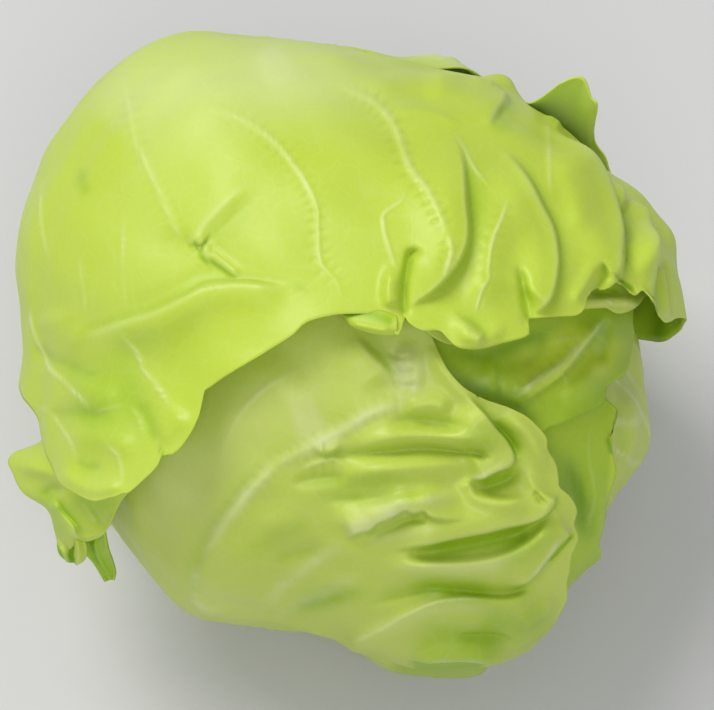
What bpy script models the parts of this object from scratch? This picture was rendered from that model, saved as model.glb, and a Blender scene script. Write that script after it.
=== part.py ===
"""A green cabbage as picked, standing on the flat cut of its stem.

Metres, +Z up. The origin is the middle of the stem's cut face. A tight inner head sits
round the stem's core, and eight loose leaves wrap over it, each on its own level: a
leaf's depth is how far it lies inside the outermost level. A leaf is a thin sheet over
the head. Its margin is given by points seen from the front and from above, in the
714 by 710 view described below, and by points on the far side as compass angles.
"""

import math
from dataclasses import dataclass

import bmesh
import bpy
import numpy as np

# Head, measured from its middle. The outline is its half-width square on to the view,
# every 15 degrees, anticlockwise from the right.
MIDDLE_HEIGHT = 0.073
HALF_DEPTH_NEAR = 0.090
HALF_DEPTH_FAR = 0.086
OUTLINE = (
    0.1070, 0.0985, 0.0905, 0.0905, 0.0905, 0.0890, 0.0870, 0.0935,
    0.1040, 0.1025, 0.1005, 0.0970, 0.0905, 0.0905, 0.0905, 0.0915,
    0.0935, 0.0925, 0.0925, 0.1045, 0.1115, 0.1090, 0.1080, 0.1090,
)
UNDERSIDE_DEPTH = 0.068
UNDERSIDE_SOFTNESS = 5.0

# The view that the seen points belong to: its size, where the head's middle lies in it,
# the size of one of its steps at that middle, and how it looks down on the head.
VIEW_WIDTH = 714
VIEW_HEIGHT = 710
VIEW_MIDDLE = (340.0, 348.0)
VIEW_STEP = 0.00029
VIEW_ELEVATION = math.radians(60.0)
VIEW_DISTANCE = 0.70

# Leaves.
LEAF_THICKNESS = 0.0013
LEAF_GRID = 20
LIFT_STARTS = 0.62
PETIOLE_HALF_ANGLE = 32.0
PETIOLE_RISE = 11.0

# Stem: (radius, height) from the cut face up to the core's tip.
STEM_PROFILE = (
    (0.0155, 0.0),
    (0.0170, 0.0015),
    (0.0165, 0.010),
    (0.0140, 0.024),
    (0.0095, 0.050),
    (0.0050, 0.064),
)
STEM_TIP_HEIGHT = 0.068
STEM_SIDES = 28
CORE_CLEARANCE = 0.0004

INNER_HEAD_DEPTH = 0.0216
INNER_HEAD_DETAIL = 4

MIDDLE = np.array([0.0, 0.0, MIDDLE_HEIGHT])
VIEW_RIGHT = np.array([1.0, 0.0, 0.0])
VIEW_UP = np.array([0.0, math.sin(VIEW_ELEVATION), math.cos(VIEW_ELEVATION)])
VIEW_OUT = np.array([0.0, -math.cos(VIEW_ELEVATION), math.sin(VIEW_ELEVATION)])


@dataclass(frozen=True)
class Margin:
    """One point of a leaf's margin: a direction from the head's middle, and its lift."""

    direction: tuple
    lift: float


@dataclass(frozen=True)
class Leaf:
    """A leaf: the direction of its middle, its depth, its margin and its colour."""

    name: str
    middle: tuple
    depth: float
    margin: tuple
    colour: tuple


def clear_scene():
    """Removes whatever the scene holds."""
    for obj in list(bpy.data.objects):
        bpy.data.objects.remove(obj, do_unlink=True)


def unit(vectors):
    """Vectors made one long, along the last axis."""
    return vectors / np.linalg.norm(vectors, axis=-1, keepdims=True)


def compass(azimuth, elevation):
    """The direction at an azimuth from +X towards +Y and an elevation, in degrees."""
    turn, rise = math.radians(azimuth), math.radians(elevation)
    flat = math.cos(rise)
    return np.array([flat * math.cos(turn), flat * math.sin(turn), math.sin(rise)])


def outline_radius(angle):
    """The outline's half-width at an angle round the view, by a periodic cubic curve."""
    count = len(OUTLINE)
    values = np.array(OUTLINE)
    place = np.mod(angle, math.tau) / math.tau * count
    first = np.floor(place).astype(int)
    along = place - first
    before, here, after, beyond = (values[(first + step) % count] for step in (-1, 0, 1, 2))
    slope_here = (after - before) / 2
    slope_after = (beyond - here) / 2
    rise = after - here
    cubic = slope_here + slope_after - 2 * rise
    square = 3 * rise - 2 * slope_here - slope_after
    return here + along * (slope_here + along * (square + along * cubic))


def head_radius(direction):
    """The outermost level's distance from the head's middle, in each direction.

    It is an ellipsoid about the view's axis, whose half-width follows the outline, and
    which is blended with a flat underside.
    """
    out = direction @ VIEW_OUT
    angle = np.arctan2(direction @ VIEW_UP, direction @ VIEW_RIGHT)
    depth = np.where(out > 0, HALF_DEPTH_NEAR, HALF_DEPTH_FAR)
    round_radius = 1 / np.sqrt((out / depth) ** 2 + (1 - out**2) / outline_radius(angle) ** 2)
    down = np.maximum(-direction[..., 2], 0)
    power = UNDERSIDE_SOFTNESS
    return (round_radius**-power + (down / UNDERSIDE_DEPTH) ** power) ** (-1 / power)


def seen(x, y, depth, lift=0.0):
    """The margin point that the view shows at (x, y), on the level at this depth.

    Past the level's own outline it is the direction of the sight line's nearest point.
    """
    eye = MIDDLE + VIEW_DISTANCE * VIEW_OUT
    eye = eye + VIEW_STEP * (VIEW_WIDTH / 2 - VIEW_MIDDLE[0]) * VIEW_RIGHT
    eye = eye - VIEW_STEP * (VIEW_HEIGHT / 2 - VIEW_MIDDLE[1]) * VIEW_UP
    scale = VIEW_STEP / VIEW_DISTANCE
    sight = (x - VIEW_WIDTH / 2) * scale * VIEW_RIGHT - (y - VIEW_HEIGHT / 2) * scale * VIEW_UP
    sight = unit(sight - VIEW_OUT)
    near, far, steps = VIEW_DISTANCE - 0.18, VIEW_DISTANCE + 0.05, 2301
    reach = np.linspace(near, far, steps)[:, None]
    offset = eye + reach * sight - MIDDLE
    height = np.linalg.norm(offset, axis=1) - head_radius(unit(offset)) + depth - lift
    inside = np.flatnonzero(height < 0)
    found = inside[0] if len(inside) else int(np.argmin(height))
    return Margin(tuple(unit(offset[found])), lift)


def hidden(azimuth, elevation, lift=0.0):
    """A margin point on the far side, at a compass direction from the head's middle."""
    return Margin(tuple(compass(azimuth, elevation)), lift)


def petiole(azimuth, elevation):
    """Three margin points where a leaf narrows and meets the stem."""
    side, rise = PETIOLE_HALF_ANGLE, elevation + PETIOLE_RISE
    return (hidden(azimuth - side, rise), hidden(azimuth, elevation), hidden(azimuth + side, rise))


def flat_axes(middle):
    """Two directions across the leaf's middle, the second of them leaning upwards."""
    across = unit(np.cross([0.0, 0.0, 1.0], middle))
    return across, np.cross(middle, across)


def margin_curve(leaf):
    """The margin about the leaf's middle: sorted angles, their reach in radians, their lift."""
    middle = np.array(leaf.middle)
    across, upward = flat_axes(middle)
    points = np.array([point.direction for point in leaf.margin])
    lifts = np.array([point.lift for point in leaf.margin])
    angles = np.arctan2(points @ upward, points @ across)
    reach = np.arccos(np.clip(points @ middle, -1, 1))
    order = np.argsort(angles)
    return angles[order], reach[order], lifts[order]


def leaf_points(leaf):
    """A grid of points over the leaf: a square mapped to a disc, stretched to the margin."""
    steps = np.linspace(-1, 1, LEAF_GRID + 1)
    first, second = np.meshgrid(steps, steps, indexing="ij")
    across_disc = first * np.sqrt(1 - second**2 / 2)
    up_disc = second * np.sqrt(1 - first**2 / 2)
    share = np.clip(np.hypot(across_disc, up_disc), 0, 1)
    angle = np.arctan2(up_disc, across_disc)
    angles, reach, lifts = margin_curve(leaf)
    arc = share * np.interp(angle, angles, reach, period=math.tau)
    edge_lift = np.interp(angle, angles, lifts, period=math.tau)
    rise = np.clip((share - LIFT_STARTS) / (1 - LIFT_STARTS), 0, 1) ** 2
    middle = np.array(leaf.middle)
    across, upward = flat_axes(middle)
    sideways = np.cos(angle)[..., None] * across + np.sin(angle)[..., None] * upward
    direction = np.cos(arc)[..., None] * middle + np.sin(arc)[..., None] * sideways
    radius = head_radius(direction) - leaf.depth + edge_lift * rise
    return MIDDLE + radius[..., None] * direction


def material(name, colour, roughness=0.45):
    """A plain material of one colour."""
    made = bpy.data.materials.new(name)
    made.use_nodes = True
    shader = made.node_tree.nodes["Principled BSDF"]
    shader.inputs["Base Color"].default_value = (*colour, 1.0)
    shader.inputs["Roughness"].default_value = roughness
    shader.inputs["Metallic"].default_value = 0.0
    return made


def add_object(name, mesh, finish):
    """Adds a mesh to the scene as a smooth-shaded object with its material."""
    mesh.materials.append(finish)
    mesh.shade_smooth()
    obj = bpy.data.objects.new(name, mesh)
    bpy.context.scene.collection.objects.link(obj)
    return obj


def add_leaf(leaf):
    """Adds a leaf: its grid of points joined with quads, thickened inwards."""
    points = leaf_points(leaf)
    count = LEAF_GRID + 1
    shape = bmesh.new()
    grid = [[shape.verts.new(points[i, j]) for j in range(count)] for i in range(count)]
    for i in range(LEAF_GRID):
        for j in range(LEAF_GRID):
            shape.faces.new((grid[i][j], grid[i + 1][j], grid[i + 1][j + 1], grid[i][j + 1]))
    mesh = bpy.data.meshes.new(leaf.name)
    shape.to_mesh(mesh)
    shape.free()
    obj = add_object(leaf.name, mesh, material(leaf.name, leaf.colour))
    wall = obj.modifiers.new("Thickness", "SOLIDIFY")
    wall.thickness = LEAF_THICKNESS
    wall.offset = -1
    return obj


def turned_mesh(name, profile, tip_height):
    """A closed solid turned about Z from (radius, height) pairs, with a flat bottom."""
    shape = bmesh.new()
    ring = [shape.verts.new((0.0, 0.0, profile[0][1]))]
    ring += [shape.verts.new((radius, 0.0, height)) for radius, height in profile]
    ring.append(shape.verts.new((0.0, 0.0, tip_height)))
    edges = [shape.edges.new(pair) for pair in zip(ring, ring[1:])]
    bmesh.ops.spin(
        shape, geom=ring + edges, axis=(0, 0, 1), cent=(0, 0, 0), angle=math.tau, steps=STEM_SIDES
    )
    bmesh.ops.remove_doubles(shape, verts=shape.verts, dist=1e-6)
    bmesh.ops.recalc_face_normals(shape, faces=shape.faces)
    mesh = bpy.data.meshes.new(name)
    shape.to_mesh(mesh)
    shape.free()
    return mesh


def add_stem():
    """Adds the stem: the stump that the cabbage stands on, and the core above it."""
    mesh = turned_mesh("stem", STEM_PROFILE, STEM_TIP_HEIGHT)
    obj = add_object("stem", mesh, material("stem", (0.72, 0.76, 0.50), 0.6))
    mesh.set_sharp_from_angle(angle=math.radians(50))
    return obj


def add_core_cutter():
    """Adds the cutter for the core's pocket: the stem's shape, a little larger."""
    profile = [(radius + CORE_CLEARANCE, height) for radius, height in STEM_PROFILE]
    mesh = turned_mesh("core_pocket", profile, STEM_TIP_HEIGHT + CORE_CLEARANCE)
    obj = bpy.data.objects.new("core_pocket", mesh)
    bpy.context.scene.collection.objects.link(obj)
    obj.hide_render = True
    obj.display_type = "WIRE"
    return obj


def add_inner_head(cutter):
    """Adds the tight inner head, with the core's pocket cut up into its underside."""
    shape = bmesh.new()
    bmesh.ops.create_icosphere(shape, subdivisions=INNER_HEAD_DETAIL, radius=1.0)
    for vert in shape.verts:
        direction = unit(np.array(vert.co))
        radius = head_radius(direction) - INNER_HEAD_DEPTH
        vert.co = MIDDLE + radius * direction
    mesh = bpy.data.meshes.new("inner_head")
    shape.to_mesh(mesh)
    shape.free()
    obj = add_object("inner_head", mesh, material("inner_head", (0.60, 0.72, 0.28)))
    cut = obj.modifiers.new("Core pocket", "BOOLEAN")
    cut.operation = "DIFFERENCE"
    cut.solver = "EXACT"
    cut.object = cutter
    return obj


def leaves():
    """The eight loose leaves, from the outermost level to the innermost."""
    bright, pale, deep = (0.52, 0.68, 0.13), (0.62, 0.74, 0.26), (0.36, 0.54, 0.07)
    top, inner_top, front, right, lower_right, far_right = (
        0.0, 0.0043, 0.0077, 0.0111, 0.0146, 0.0180
    )
    return (
        Leaf("back_right_leaf", tuple(compass(42, -12)), -0.0035, (
            *petiole(42, -74),
            hidden(82, -48), hidden(86, -18), hidden(74, 2), hidden(62, 9, 0.001),
            hidden(53, 15, 0.002), hidden(48, 22, 0.007), hidden(44, 26, 0.011),
            hidden(38, 22, 0.009), hidden(30, 16, 0.004), hidden(20, 7, 0.002), hidden(10, -18),
            hidden(4, -48),
        ), bright),
        Leaf("top_leaf", tuple(compass(98, 34)), top, (
            *petiole(100, -74),
            hidden(146, -50), hidden(158, -42), hidden(170, -35, 0.001), hidden(182, -29, 0.005),
            hidden(194, -26, 0.010), hidden(205, -25, 0.014), hidden(214, -25, 0.014),
            hidden(221, -23, 0.009), seen(113, 534, top, 0.005),
            seen(150, 477, top, 0.005), seen(188, 440, top, 0.004), seen(200, 402, top, 0.004),
            seen(262, 350, top, 0.003), seen(308, 321, top, 0.003), seen(345, 313, top, 0.003),
            seen(392, 336, top, 0.003), seen(412, 322, top, 0.003), seen(456, 347, top, 0.004),
            seen(520, 338, top, 0.004), seen(532, 319, top, 0.004), seen(580, 313, top, 0.003),
            seen(612, 284, top, 0.002), seen(638, 296, top, 0.002), seen(655, 342, top, 0.001),
            hidden(8, 14), hidden(24, -2), hidden(40, -24), hidden(52, -48),
        ), bright),
        Leaf("inner_top_leaf", tuple(compass(48, 44)), inner_top, (
            *petiole(62, -73),
            hidden(98, -44), hidden(112, -10), hidden(120, 18), hidden(136, 46), hidden(205, 68),
            seen(380, 296, inner_top), seen(440, 341, inner_top), seen(474, 334, inner_top),
            seen(530, 312, inner_top), seen(592, 309, inner_top), seen(641, 311, inner_top),
            hidden(8, 8), hidden(8, -24), hidden(22, -48),
        ), pale),
        Leaf("front_leaf", tuple(compass(266, 22)), front, (
            *petiole(244, -72),
            hidden(304, -44), hidden(318, -26), seen(567, 606, front, 0.001),
            seen(577, 570, front, 0.003), seen(577, 520, front, 0.004),
            seen(560, 492, front, 0.003), seen(556, 460, front, 0.003),
            seen(544, 432, front, 0.003), seen(505, 408, front, 0.003),
            seen(470, 390, front, 0.002), seen(445, 358, front, 0.002),
            seen(428, 325, front, 0.001), hidden(290, 72), hidden(240, 68), hidden(222, 44),
            hidden(204, 22), hidden(192, 0), hidden(190, -26), hidden(200, -48),
        ), pale),
        Leaf("left_leaf", tuple(compass(166, -4)), right, (
            *petiole(168, -71),
            hidden(120, -44), hidden(110, -10), hidden(120, 22), hidden(145, 42),
            hidden(185, 44), hidden(212, 24), hidden(222, -8), hidden(214, -42),
        ), deep),
        Leaf("right_leaf", tuple(compass(28, 50)), right, (
            *petiole(52, -71),
            hidden(88, -36), hidden(96, -5), hidden(104, 28), hidden(126, 54), hidden(190, 70),
            hidden(254, 62), hidden(272, 44), hidden(298, 35), seen(530, 437, right),
            seen(548, 428, right), seen(566, 421, right, 0.001), seen(586, 413, right, 0.001),
            seen(602, 401, right, 0.001), seen(612, 384, right, 0.001),
            seen(628, 366, right, 0.001), seen(636, 340, right, 0.001), hidden(354, 20),
            hidden(0, 0), hidden(8, -30),
        ), deep),
        Leaf("lower_right_leaf", tuple(compass(296, 8)), lower_right, (
            *petiole(288, -70),
            hidden(318, -38), seen(572, 584, lower_right), seen(588, 562, lower_right, 0.001),
            seen(603, 544, lower_right, 0.002), seen(607, 510, lower_right, 0.002),
            seen(616, 480, lower_right, 0.002), seen(617, 456, lower_right, 0.002),
            seen(613, 430, lower_right, 0.001), seen(608, 404, lower_right), hidden(334, 40),
            hidden(322, 54), hidden(292, 56), hidden(266, 42), hidden(256, 12), hidden(258, -18),
            hidden(266, -44),
        ), deep),
        Leaf("far_right_leaf", tuple(compass(344, 0)), far_right, (
            *petiole(346, -69),
            hidden(24, -40), hidden(36, -8), hidden(32, 22), hidden(10, 42), hidden(340, 46),
            hidden(314, 36), hidden(308, 10), hidden(314, -16), hidden(322, -42),
        ), pale),
    )


def main():
    """Builds the stem, the inner head and the leaves."""
    clear_scene()
    add_stem()
    add_inner_head(add_core_cutter())
    for leaf in leaves():
        add_leaf(leaf)


main()
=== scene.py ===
"""Looks of a green cabbage: its loose outer leaves, tight inner head and cut stem.

Every leaf is a thin shell laid over the head's form, on its own level below the outermost
one. Its margin is drawn from points seen in the photograph and from compass points on the
far side. Its folds and veins are curves in the photograph's frame, raised or sunk along
the line of sight, so that each keeps its place there. Lengths are in metres, except where
a name or a docstring says millimetres or pixels.
"""

from __future__ import annotations

import logging
import math
from dataclasses import dataclass, field
from enum import Enum

import bpy
import numpy as np
from bpy.types import Material, Mesh, NodeSocket, NodeTree, Object
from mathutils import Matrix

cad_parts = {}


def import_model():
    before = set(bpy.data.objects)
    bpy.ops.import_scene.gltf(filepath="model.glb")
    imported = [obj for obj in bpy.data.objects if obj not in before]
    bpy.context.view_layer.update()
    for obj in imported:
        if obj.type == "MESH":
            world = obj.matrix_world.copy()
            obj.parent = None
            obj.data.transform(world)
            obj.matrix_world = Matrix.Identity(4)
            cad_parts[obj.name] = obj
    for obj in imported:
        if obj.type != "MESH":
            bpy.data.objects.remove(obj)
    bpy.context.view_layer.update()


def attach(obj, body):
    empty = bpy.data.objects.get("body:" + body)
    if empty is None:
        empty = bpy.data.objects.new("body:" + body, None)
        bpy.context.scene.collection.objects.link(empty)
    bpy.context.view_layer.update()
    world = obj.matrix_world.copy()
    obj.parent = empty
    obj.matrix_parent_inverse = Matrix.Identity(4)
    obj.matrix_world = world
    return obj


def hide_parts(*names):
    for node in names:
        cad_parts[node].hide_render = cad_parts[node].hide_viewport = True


LOG = logging.getLogger("cabbage")

Array = np.ndarray
Pixel = tuple[float, float]
Path = tuple[Pixel, ...]
Point = tuple[float, float, float]
Colour = tuple[float, float, float]
Paints = dict[str, Array]
Sheet = tuple[Array, Array, Paints]
Paints = Paints
Sheet = tuple[Array, Array, Paints]

MM = 0.001
HEAD_MIDDLE: Point = (0.0, 0.0, 0.073)
LEAF_THICKNESS = 0.8 * MM
BUMP_DISTANCE = 0.4 * MM
NET_SCALES = (150.0, 345.0)

# A trace's samples weigh within this reach in pixels, and a share of the distance.
SHARE_REACH = 3.0
SHARE_SPREAD = 0.3

# A margin is kept in steps of arc and round the leaf, and smoothed to about as many waves.
MARGIN_SPACING = 0.12
MARGIN_STEPS = 1400
OUTLINE_WAVES = 40.0
CALM_WAVES = 9.0
LIFT_WAVES = 30.0


def unit(vectors: Array) -> Array:
    """Vectors made one long, along the last axis."""
    return vectors / np.linalg.norm(vectors, axis=-1, keepdims=True)


def smoothstep(low: float, high: float, value: Array) -> Array:
    """Rises from 0 at low to 1 at high as 3t² - 2t³, flat outside."""
    part = np.clip((value - low) / (high - low), 0.0, 1.0)
    return part * part * (3.0 - 2.0 * part)


def compass(azimuth: Array, elevation: Array) -> Array:
    """Directions at azimuths from +X towards +Y and elevations.

    Args:
        azimuth: Degrees round the vertical.
        elevation: Degrees above the level.

    Returns:
        Unit vectors, with the three parts along the last axis.
    """
    turn, rise = np.radians(azimuth), np.radians(elevation)
    flat = np.cos(rise)
    return np.stack([flat * np.cos(turn), flat * np.sin(turn), np.sin(rise)], axis=-1)


def smooth_path(points: Array, spacing: float, closed: bool = False) -> Array:
    """Points at even spacing along a Catmull-Rom curve through the given points.

    Args:
        points: Rows of coordinates, of any number of columns.
        spacing: The distance between the new points.
        closed: Whether the curve joins up with its start.

    Returns:
        Rows of coordinates. A closed curve's start isn't repeated.
    """
    points = np.asarray(points, float)
    if closed:
        padded = np.concatenate([points[-1:], points, points[:2]])
    else:
        first, last = 2 * points[:1] - points[1:2], 2 * points[-1:] - points[-2:-1]
        padded = np.concatenate([first, points, last])
    along = np.linspace(0.0, 1.0, 16, endpoint=False)[:, None, None]
    a, b, c, d = padded[:-3], padded[1:-2], padded[2:-1], padded[3:]
    spans = b + 0.5 * along * (
        (c - a) + along * ((2 * a - 5 * b + 4 * c - d) + along * (3 * b - a - 3 * c + d))
    )
    dense = spans.transpose(1, 0, 2).reshape(-1, points.shape[1])
    dense = np.concatenate([dense, points[:1] if closed else points[-1:]])
    travelled = np.concatenate([[0.0], np.linalg.norm(np.diff(dense, axis=0), axis=1).cumsum()])
    count = max(int(travelled[-1] / spacing), 6)
    even = np.linspace(0.0, travelled[-1], count + 1)
    evened = np.stack([np.interp(even, travelled, column) for column in dense.T], axis=1)
    return evened[:-1] if closed else evened


@dataclass(frozen=True)
class PhotoView:
    """The photograph's camera, and the frame that traced points belong to."""

    width: int = 714
    height: int = 710
    middle: Pixel = (340.0, 348.0)
    pixel_size: float = 0.00029
    distance: float = 0.70
    elevation: float = math.radians(60.0)
    target: Point = HEAD_MIDDLE

    @property
    def right(self) -> Array:
        """The direction of the frame's right."""
        return np.array([1.0, 0.0, 0.0])

    @property
    def up(self) -> Array:
        """The direction of the frame's top."""
        return np.array([0.0, math.sin(self.elevation), math.cos(self.elevation)])

    @property
    def out(self) -> Array:
        """The direction from the head towards the camera."""
        return np.array([0.0, -math.cos(self.elevation), math.sin(self.elevation)])

    @property
    def focal(self) -> float:
        """The focal length in pixels."""
        return self.distance / self.pixel_size

    @property
    def eye(self) -> Array:
        """The camera's place, moved sideways so that the head's middle falls on its pixel."""
        across = (self.width / 2 - self.middle[0]) * self.pixel_size
        down = (self.height / 2 - self.middle[1]) * self.pixel_size
        start = np.array(self.target) + self.distance * self.out
        return start + across * self.right - down * self.up

    def pixels(self, points: Array) -> tuple[Array, Array]:
        """Where points in space fall in the frame.

        Args:
            points: Coordinates along the last axis.

        Returns:
            The pixels' x and y.
        """
        offset = points - self.eye
        depth = -(offset @ self.out)
        x = self.width / 2 + self.focal * (offset @ self.right) / depth
        y = self.height / 2 - self.focal * (offset @ self.up) / depth
        return x, y

    def sights(self, pixels: Array) -> Array:
        """Unit directions from the camera through pixels."""
        across = (pixels[:, :1] - self.width / 2) / self.focal
        down = (pixels[:, 1:2] - self.height / 2) / self.focal
        return unit(across * self.right - down * self.up - self.out)

    def add_camera(self) -> Object:
        """Adds the camera and makes it the scene's own."""
        lens = bpy.data.cameras.new("camera")
        lens.sensor_width = 36.0
        lens.lens = lens.sensor_width * self.focal / self.width
        camera = bpy.data.objects.new("camera", lens)
        camera.location = self.eye
        camera.rotation_euler = (math.pi / 2 - self.elevation, 0.0, 0.0)
        bpy.context.scene.collection.objects.link(camera)
        bpy.context.scene.camera = camera
        return camera


@dataclass(frozen=True)
class HeadForm:
    """The outermost level: how far it lies from the head's middle in each direction."""

    middle: Point = HEAD_MIDDLE
    half_depth_near: float = 0.090
    half_depth_far: float = 0.086
    outline: tuple[float, ...] = (
        0.0980, 0.0975, 0.0915, 0.0895, 0.0860, 0.0835, 0.0868, 0.0935,
        0.1040, 0.1025, 0.1005, 0.0970, 0.0905, 0.0905, 0.0905, 0.0915,
        0.0958, 0.0918, 0.0925, 0.1045, 0.1115, 0.1090, 0.1080, 0.1090,
    )
    underside_depth: float = 0.068
    underside_softness: float = 5.0

    def outline_radius(self, angle: Array) -> Array:
        """The half-width at an angle round the view, by a periodic cubic curve."""
        values = np.array(self.outline)
        count = len(values)
        place = np.mod(angle, math.tau) / math.tau * count
        first = np.floor(place).astype(int)
        along = place - first
        before, here, after, beyond = (values[(first + step) % count] for step in (-1, 0, 1, 2))
        slope_here, slope_after, rise = (after - before) / 2, (beyond - here) / 2, after - here
        cubic = slope_here + slope_after - 2 * rise
        square = 3 * rise - 2 * slope_here - slope_after
        return here + along * (slope_here + along * (square + along * cubic))

    def radius(self, view: PhotoView, direction: Array) -> Array:
        """An ellipsoid about the view's axis, blended with a flat underside.

        With c the cosine to the axis and w the outline's half-width, the round part is
        1 / sqrt(c² / depth² + (1 - c²) / w²).

        Args:
            view: Gives the axis and the directions across it.
            direction: Unit vectors from the head's middle.

        Returns:
            The distance along each.
        """
        out = direction @ view.out
        angle = np.arctan2(direction @ view.up, direction @ view.right)
        depth = np.where(out > 0, self.half_depth_near, self.half_depth_far)
        width = self.outline_radius(angle)
        round_radius = 1 / np.sqrt((out / depth) ** 2 + (1 - out**2) / width**2)
        down = np.maximum(-direction[..., 2], 0)
        power = self.underside_softness
        return (round_radius**-power + (down / self.underside_depth) ** power) ** (-1 / power)

    def undulation(self, direction: Array) -> Array:
        """Slow swells and finer ones that all levels share: products of sines, in metres."""
        x, y, z = np.moveaxis(direction, -1, 0)
        waves = np.sin(7.0 * x + 3.0 * z + 0.6) * np.sin(6.0 * y - 2.0 * z + 1.1)
        waves += 0.6 * np.sin(11.0 * y + 5.0 * x + 2.0) * np.sin(9.0 * z + 0.4)
        fine = np.sin(21.0 * x + 5.0 * z + 1.0) * np.sin(17.0 * y - 7.0 * z + 0.3)
        fine += 0.7 * np.sin(29.0 * z + 11.0 * x) * np.sin(25.0 * y + 3.0)
        return MM * (0.7 * waves + 0.34 * fine)


class Shape(Enum):
    """How a fold's height runs across its path. Right is the right of the path's way."""

    CREST = "crest"
    CREASE = "crease"
    LAP = "lap"


CREST, CREASE, LAP = Shape


@dataclass(frozen=True)
class Trace:
    """A smooth curve in the photograph's frame, sampled every couple of pixels.

    A point beside it takes its values from a stretch of the curve, each sample weighed as
    exp(-(d² - m²) / 2(r² + s²m²)) with d its distance, m the least one, r the reach and s
    the spread. So nothing jumps where two stretches of a hooked curve are as near.
    """

    points: Array
    tangents: Array
    length: float

    @classmethod
    def through(cls, path: Path, spacing: float = 2.0) -> Trace:
        """The curve through a path's points."""
        points = smooth_path(np.array(path), spacing)
        tangents = unit(np.gradient(points, axis=0))
        length = float(np.linalg.norm(np.diff(points, axis=0), axis=1).sum())
        return cls(points, tangents, length)

    def near(self, x: Array, y: Array, reach: float) -> tuple[Array, Array, Array, Array]:
        """Where points lie beside the curve.

        Args:
            x: The points' x, in one row.
            y: Their y.
            reach: How far from the curve's box a point may lie.

        Returns:
            The indices of the points in reach; their distance to the curve, positive on
            its right; how far along it they are, from 0 to 1; and how far they lie past
            its ends.
        """
        low, high = self.points.min(axis=0) - reach, self.points.max(axis=0) + reach
        inside = (x > low[0]) & (x < high[0]) & (y > low[1]) & (y < high[1])
        index = np.flatnonzero(inside)
        away_x = x[index, None] - self.points[None, :, 0]
        away_y = y[index, None] - self.points[None, :, 1]
        square = away_x**2 + away_y**2
        least = square.min(axis=1, keepdims=True, initial=np.inf)
        share = np.exp((least - square) / (2.0 * (SHARE_REACH**2 + SHARE_SPREAD**2 * least)))
        share /= share.sum(axis=1, keepdims=True)
        side = (share * (away_y * self.tangents[:, 0] - away_x * self.tangents[:, 1])).sum(axis=1)
        along = away_x[:, [0, -1]] * self.tangents[[0, -1], 0]
        along += away_y[:, [0, -1]] * self.tangents[[0, -1], 1]
        past = np.maximum(-along[:, 0], 0.0) * share[:, 0] + np.maximum(along[:, 1], 0.0) * share[:, -1]
        progress = share @ np.linspace(0.0, 1.0, len(self.points))
        return index, side, progress, past

    def weigh(self, relief: Relief, reach: float, ends: Pixel) -> tuple[Array, Array, Array, Array]:
        """As near, but with a weight last: 1 along the curve, falling to 0 at each end."""
        index, side, progress, past = self.near(relief.x, relief.y, reach)
        start = smoothstep(0.0, max(ends[0], 1e-3), progress)
        finish = smoothstep(0.0, max(ends[1], 1e-3), 1.0 - progress)
        return index, side, progress, start * finish * np.exp(-((past / 5.0) ** 2))


@dataclass
class Relief:
    """What the folds and veins add at each point of a leaf: heights, and paints of own tone, painted
    highlight and painted shade.
    """

    x: Array
    y: Array
    height: Array = field(init=False)
    shift: Array = field(init=False)
    vein: Array = field(init=False)
    pale: Array = field(init=False)
    deep: Array = field(init=False)

    def __post_init__(self) -> None:
        """Starts with nothing added."""
        self.shift = np.zeros((len(self.x), 2))
        self.height, self.vein, self.pale, self.deep = np.zeros((4, len(self.x)))


@dataclass(frozen=True)
class Fold:
    """A crest, a crease or a lap along a path.

    A crest is a rounded ridge, a crease a sharp valley, and a lap a ridge whose right side
    drops at once, like a pleat lying over the next one.

    Attributes:
        name: What it is.
        shape: Its cross-section.
        path: Its course, in pixels.
        height: Its height or depth, in millimetres.
        left: Its half-width on the left, in pixels.
        right: Its half-width on the right, in pixels.
        ends: The share of its length over which it fades at its start and its end.
        lean: How far its top leans over its right side, in pixels.
        shade: How strong the painted shade is, down in a crease or below a lap.
    """

    name: str
    shape: Shape
    path: Path
    height: float
    left: float
    right: float
    ends: Pixel = (0.3, 0.3)
    lean: float = 0.0
    shade: float = 1.0

    def add_to(self, relief: Relief) -> None:
        """Adds the fold's height, painted shade down in a crease or below a lap, and a painted highlight on
        a lap's brow.
        """
        trace = Trace.through(self.path)
        reach = 3.0 * max(self.left, self.right)
        index, side, progress, weight = trace.weigh(relief, reach, self.ends)
        width = np.where(side < 0, self.left, self.right)
        if self.shape is Shape.CREST:
            rise = np.exp(-((side / width) ** 2))
        elif self.shape is Shape.CREASE:
            rise = -np.exp(1.0 - np.sqrt(1.0 + (2.0 * side / width) ** 2))
            # Painted shade down in the crease.
            relief.deep[index] += 0.35 * self.shade * weight * np.exp(-((side / width) ** 2))
        else:
            back = side + 0.35 * self.left
            drop = 1.0 - smoothstep(-self.right, self.right, side)
            rise = np.exp(-((back / np.where(back < 0, self.left, 1.6 * self.left)) ** 2)) * drop
            # Painted shade below the lap's drop.
            foot = np.exp(-(((side - 1.2 * self.right) / (1.5 * self.right)) ** 2))
            relief.deep[index] += 0.45 * self.shade * weight * foot
            # Painted highlight along the lap's brow.
            relief.pale[index] += 0.35 * weight * np.exp(-(((side + self.right) / 3.0) ** 2))
        relief.height[index] += self.height * weight * rise
        if self.lean:
            brow = np.exp(-(((side + self.right) / 5.0) ** 2))
            last = len(trace.points) - 1
            tangent = trace.tangents[(progress * last).astype(int)]
            normal = np.stack([-tangent[:, 1], tangent[:, 0]], axis=1)
            relief.shift[index] += (self.lean * weight * brow)[:, None] * normal


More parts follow.
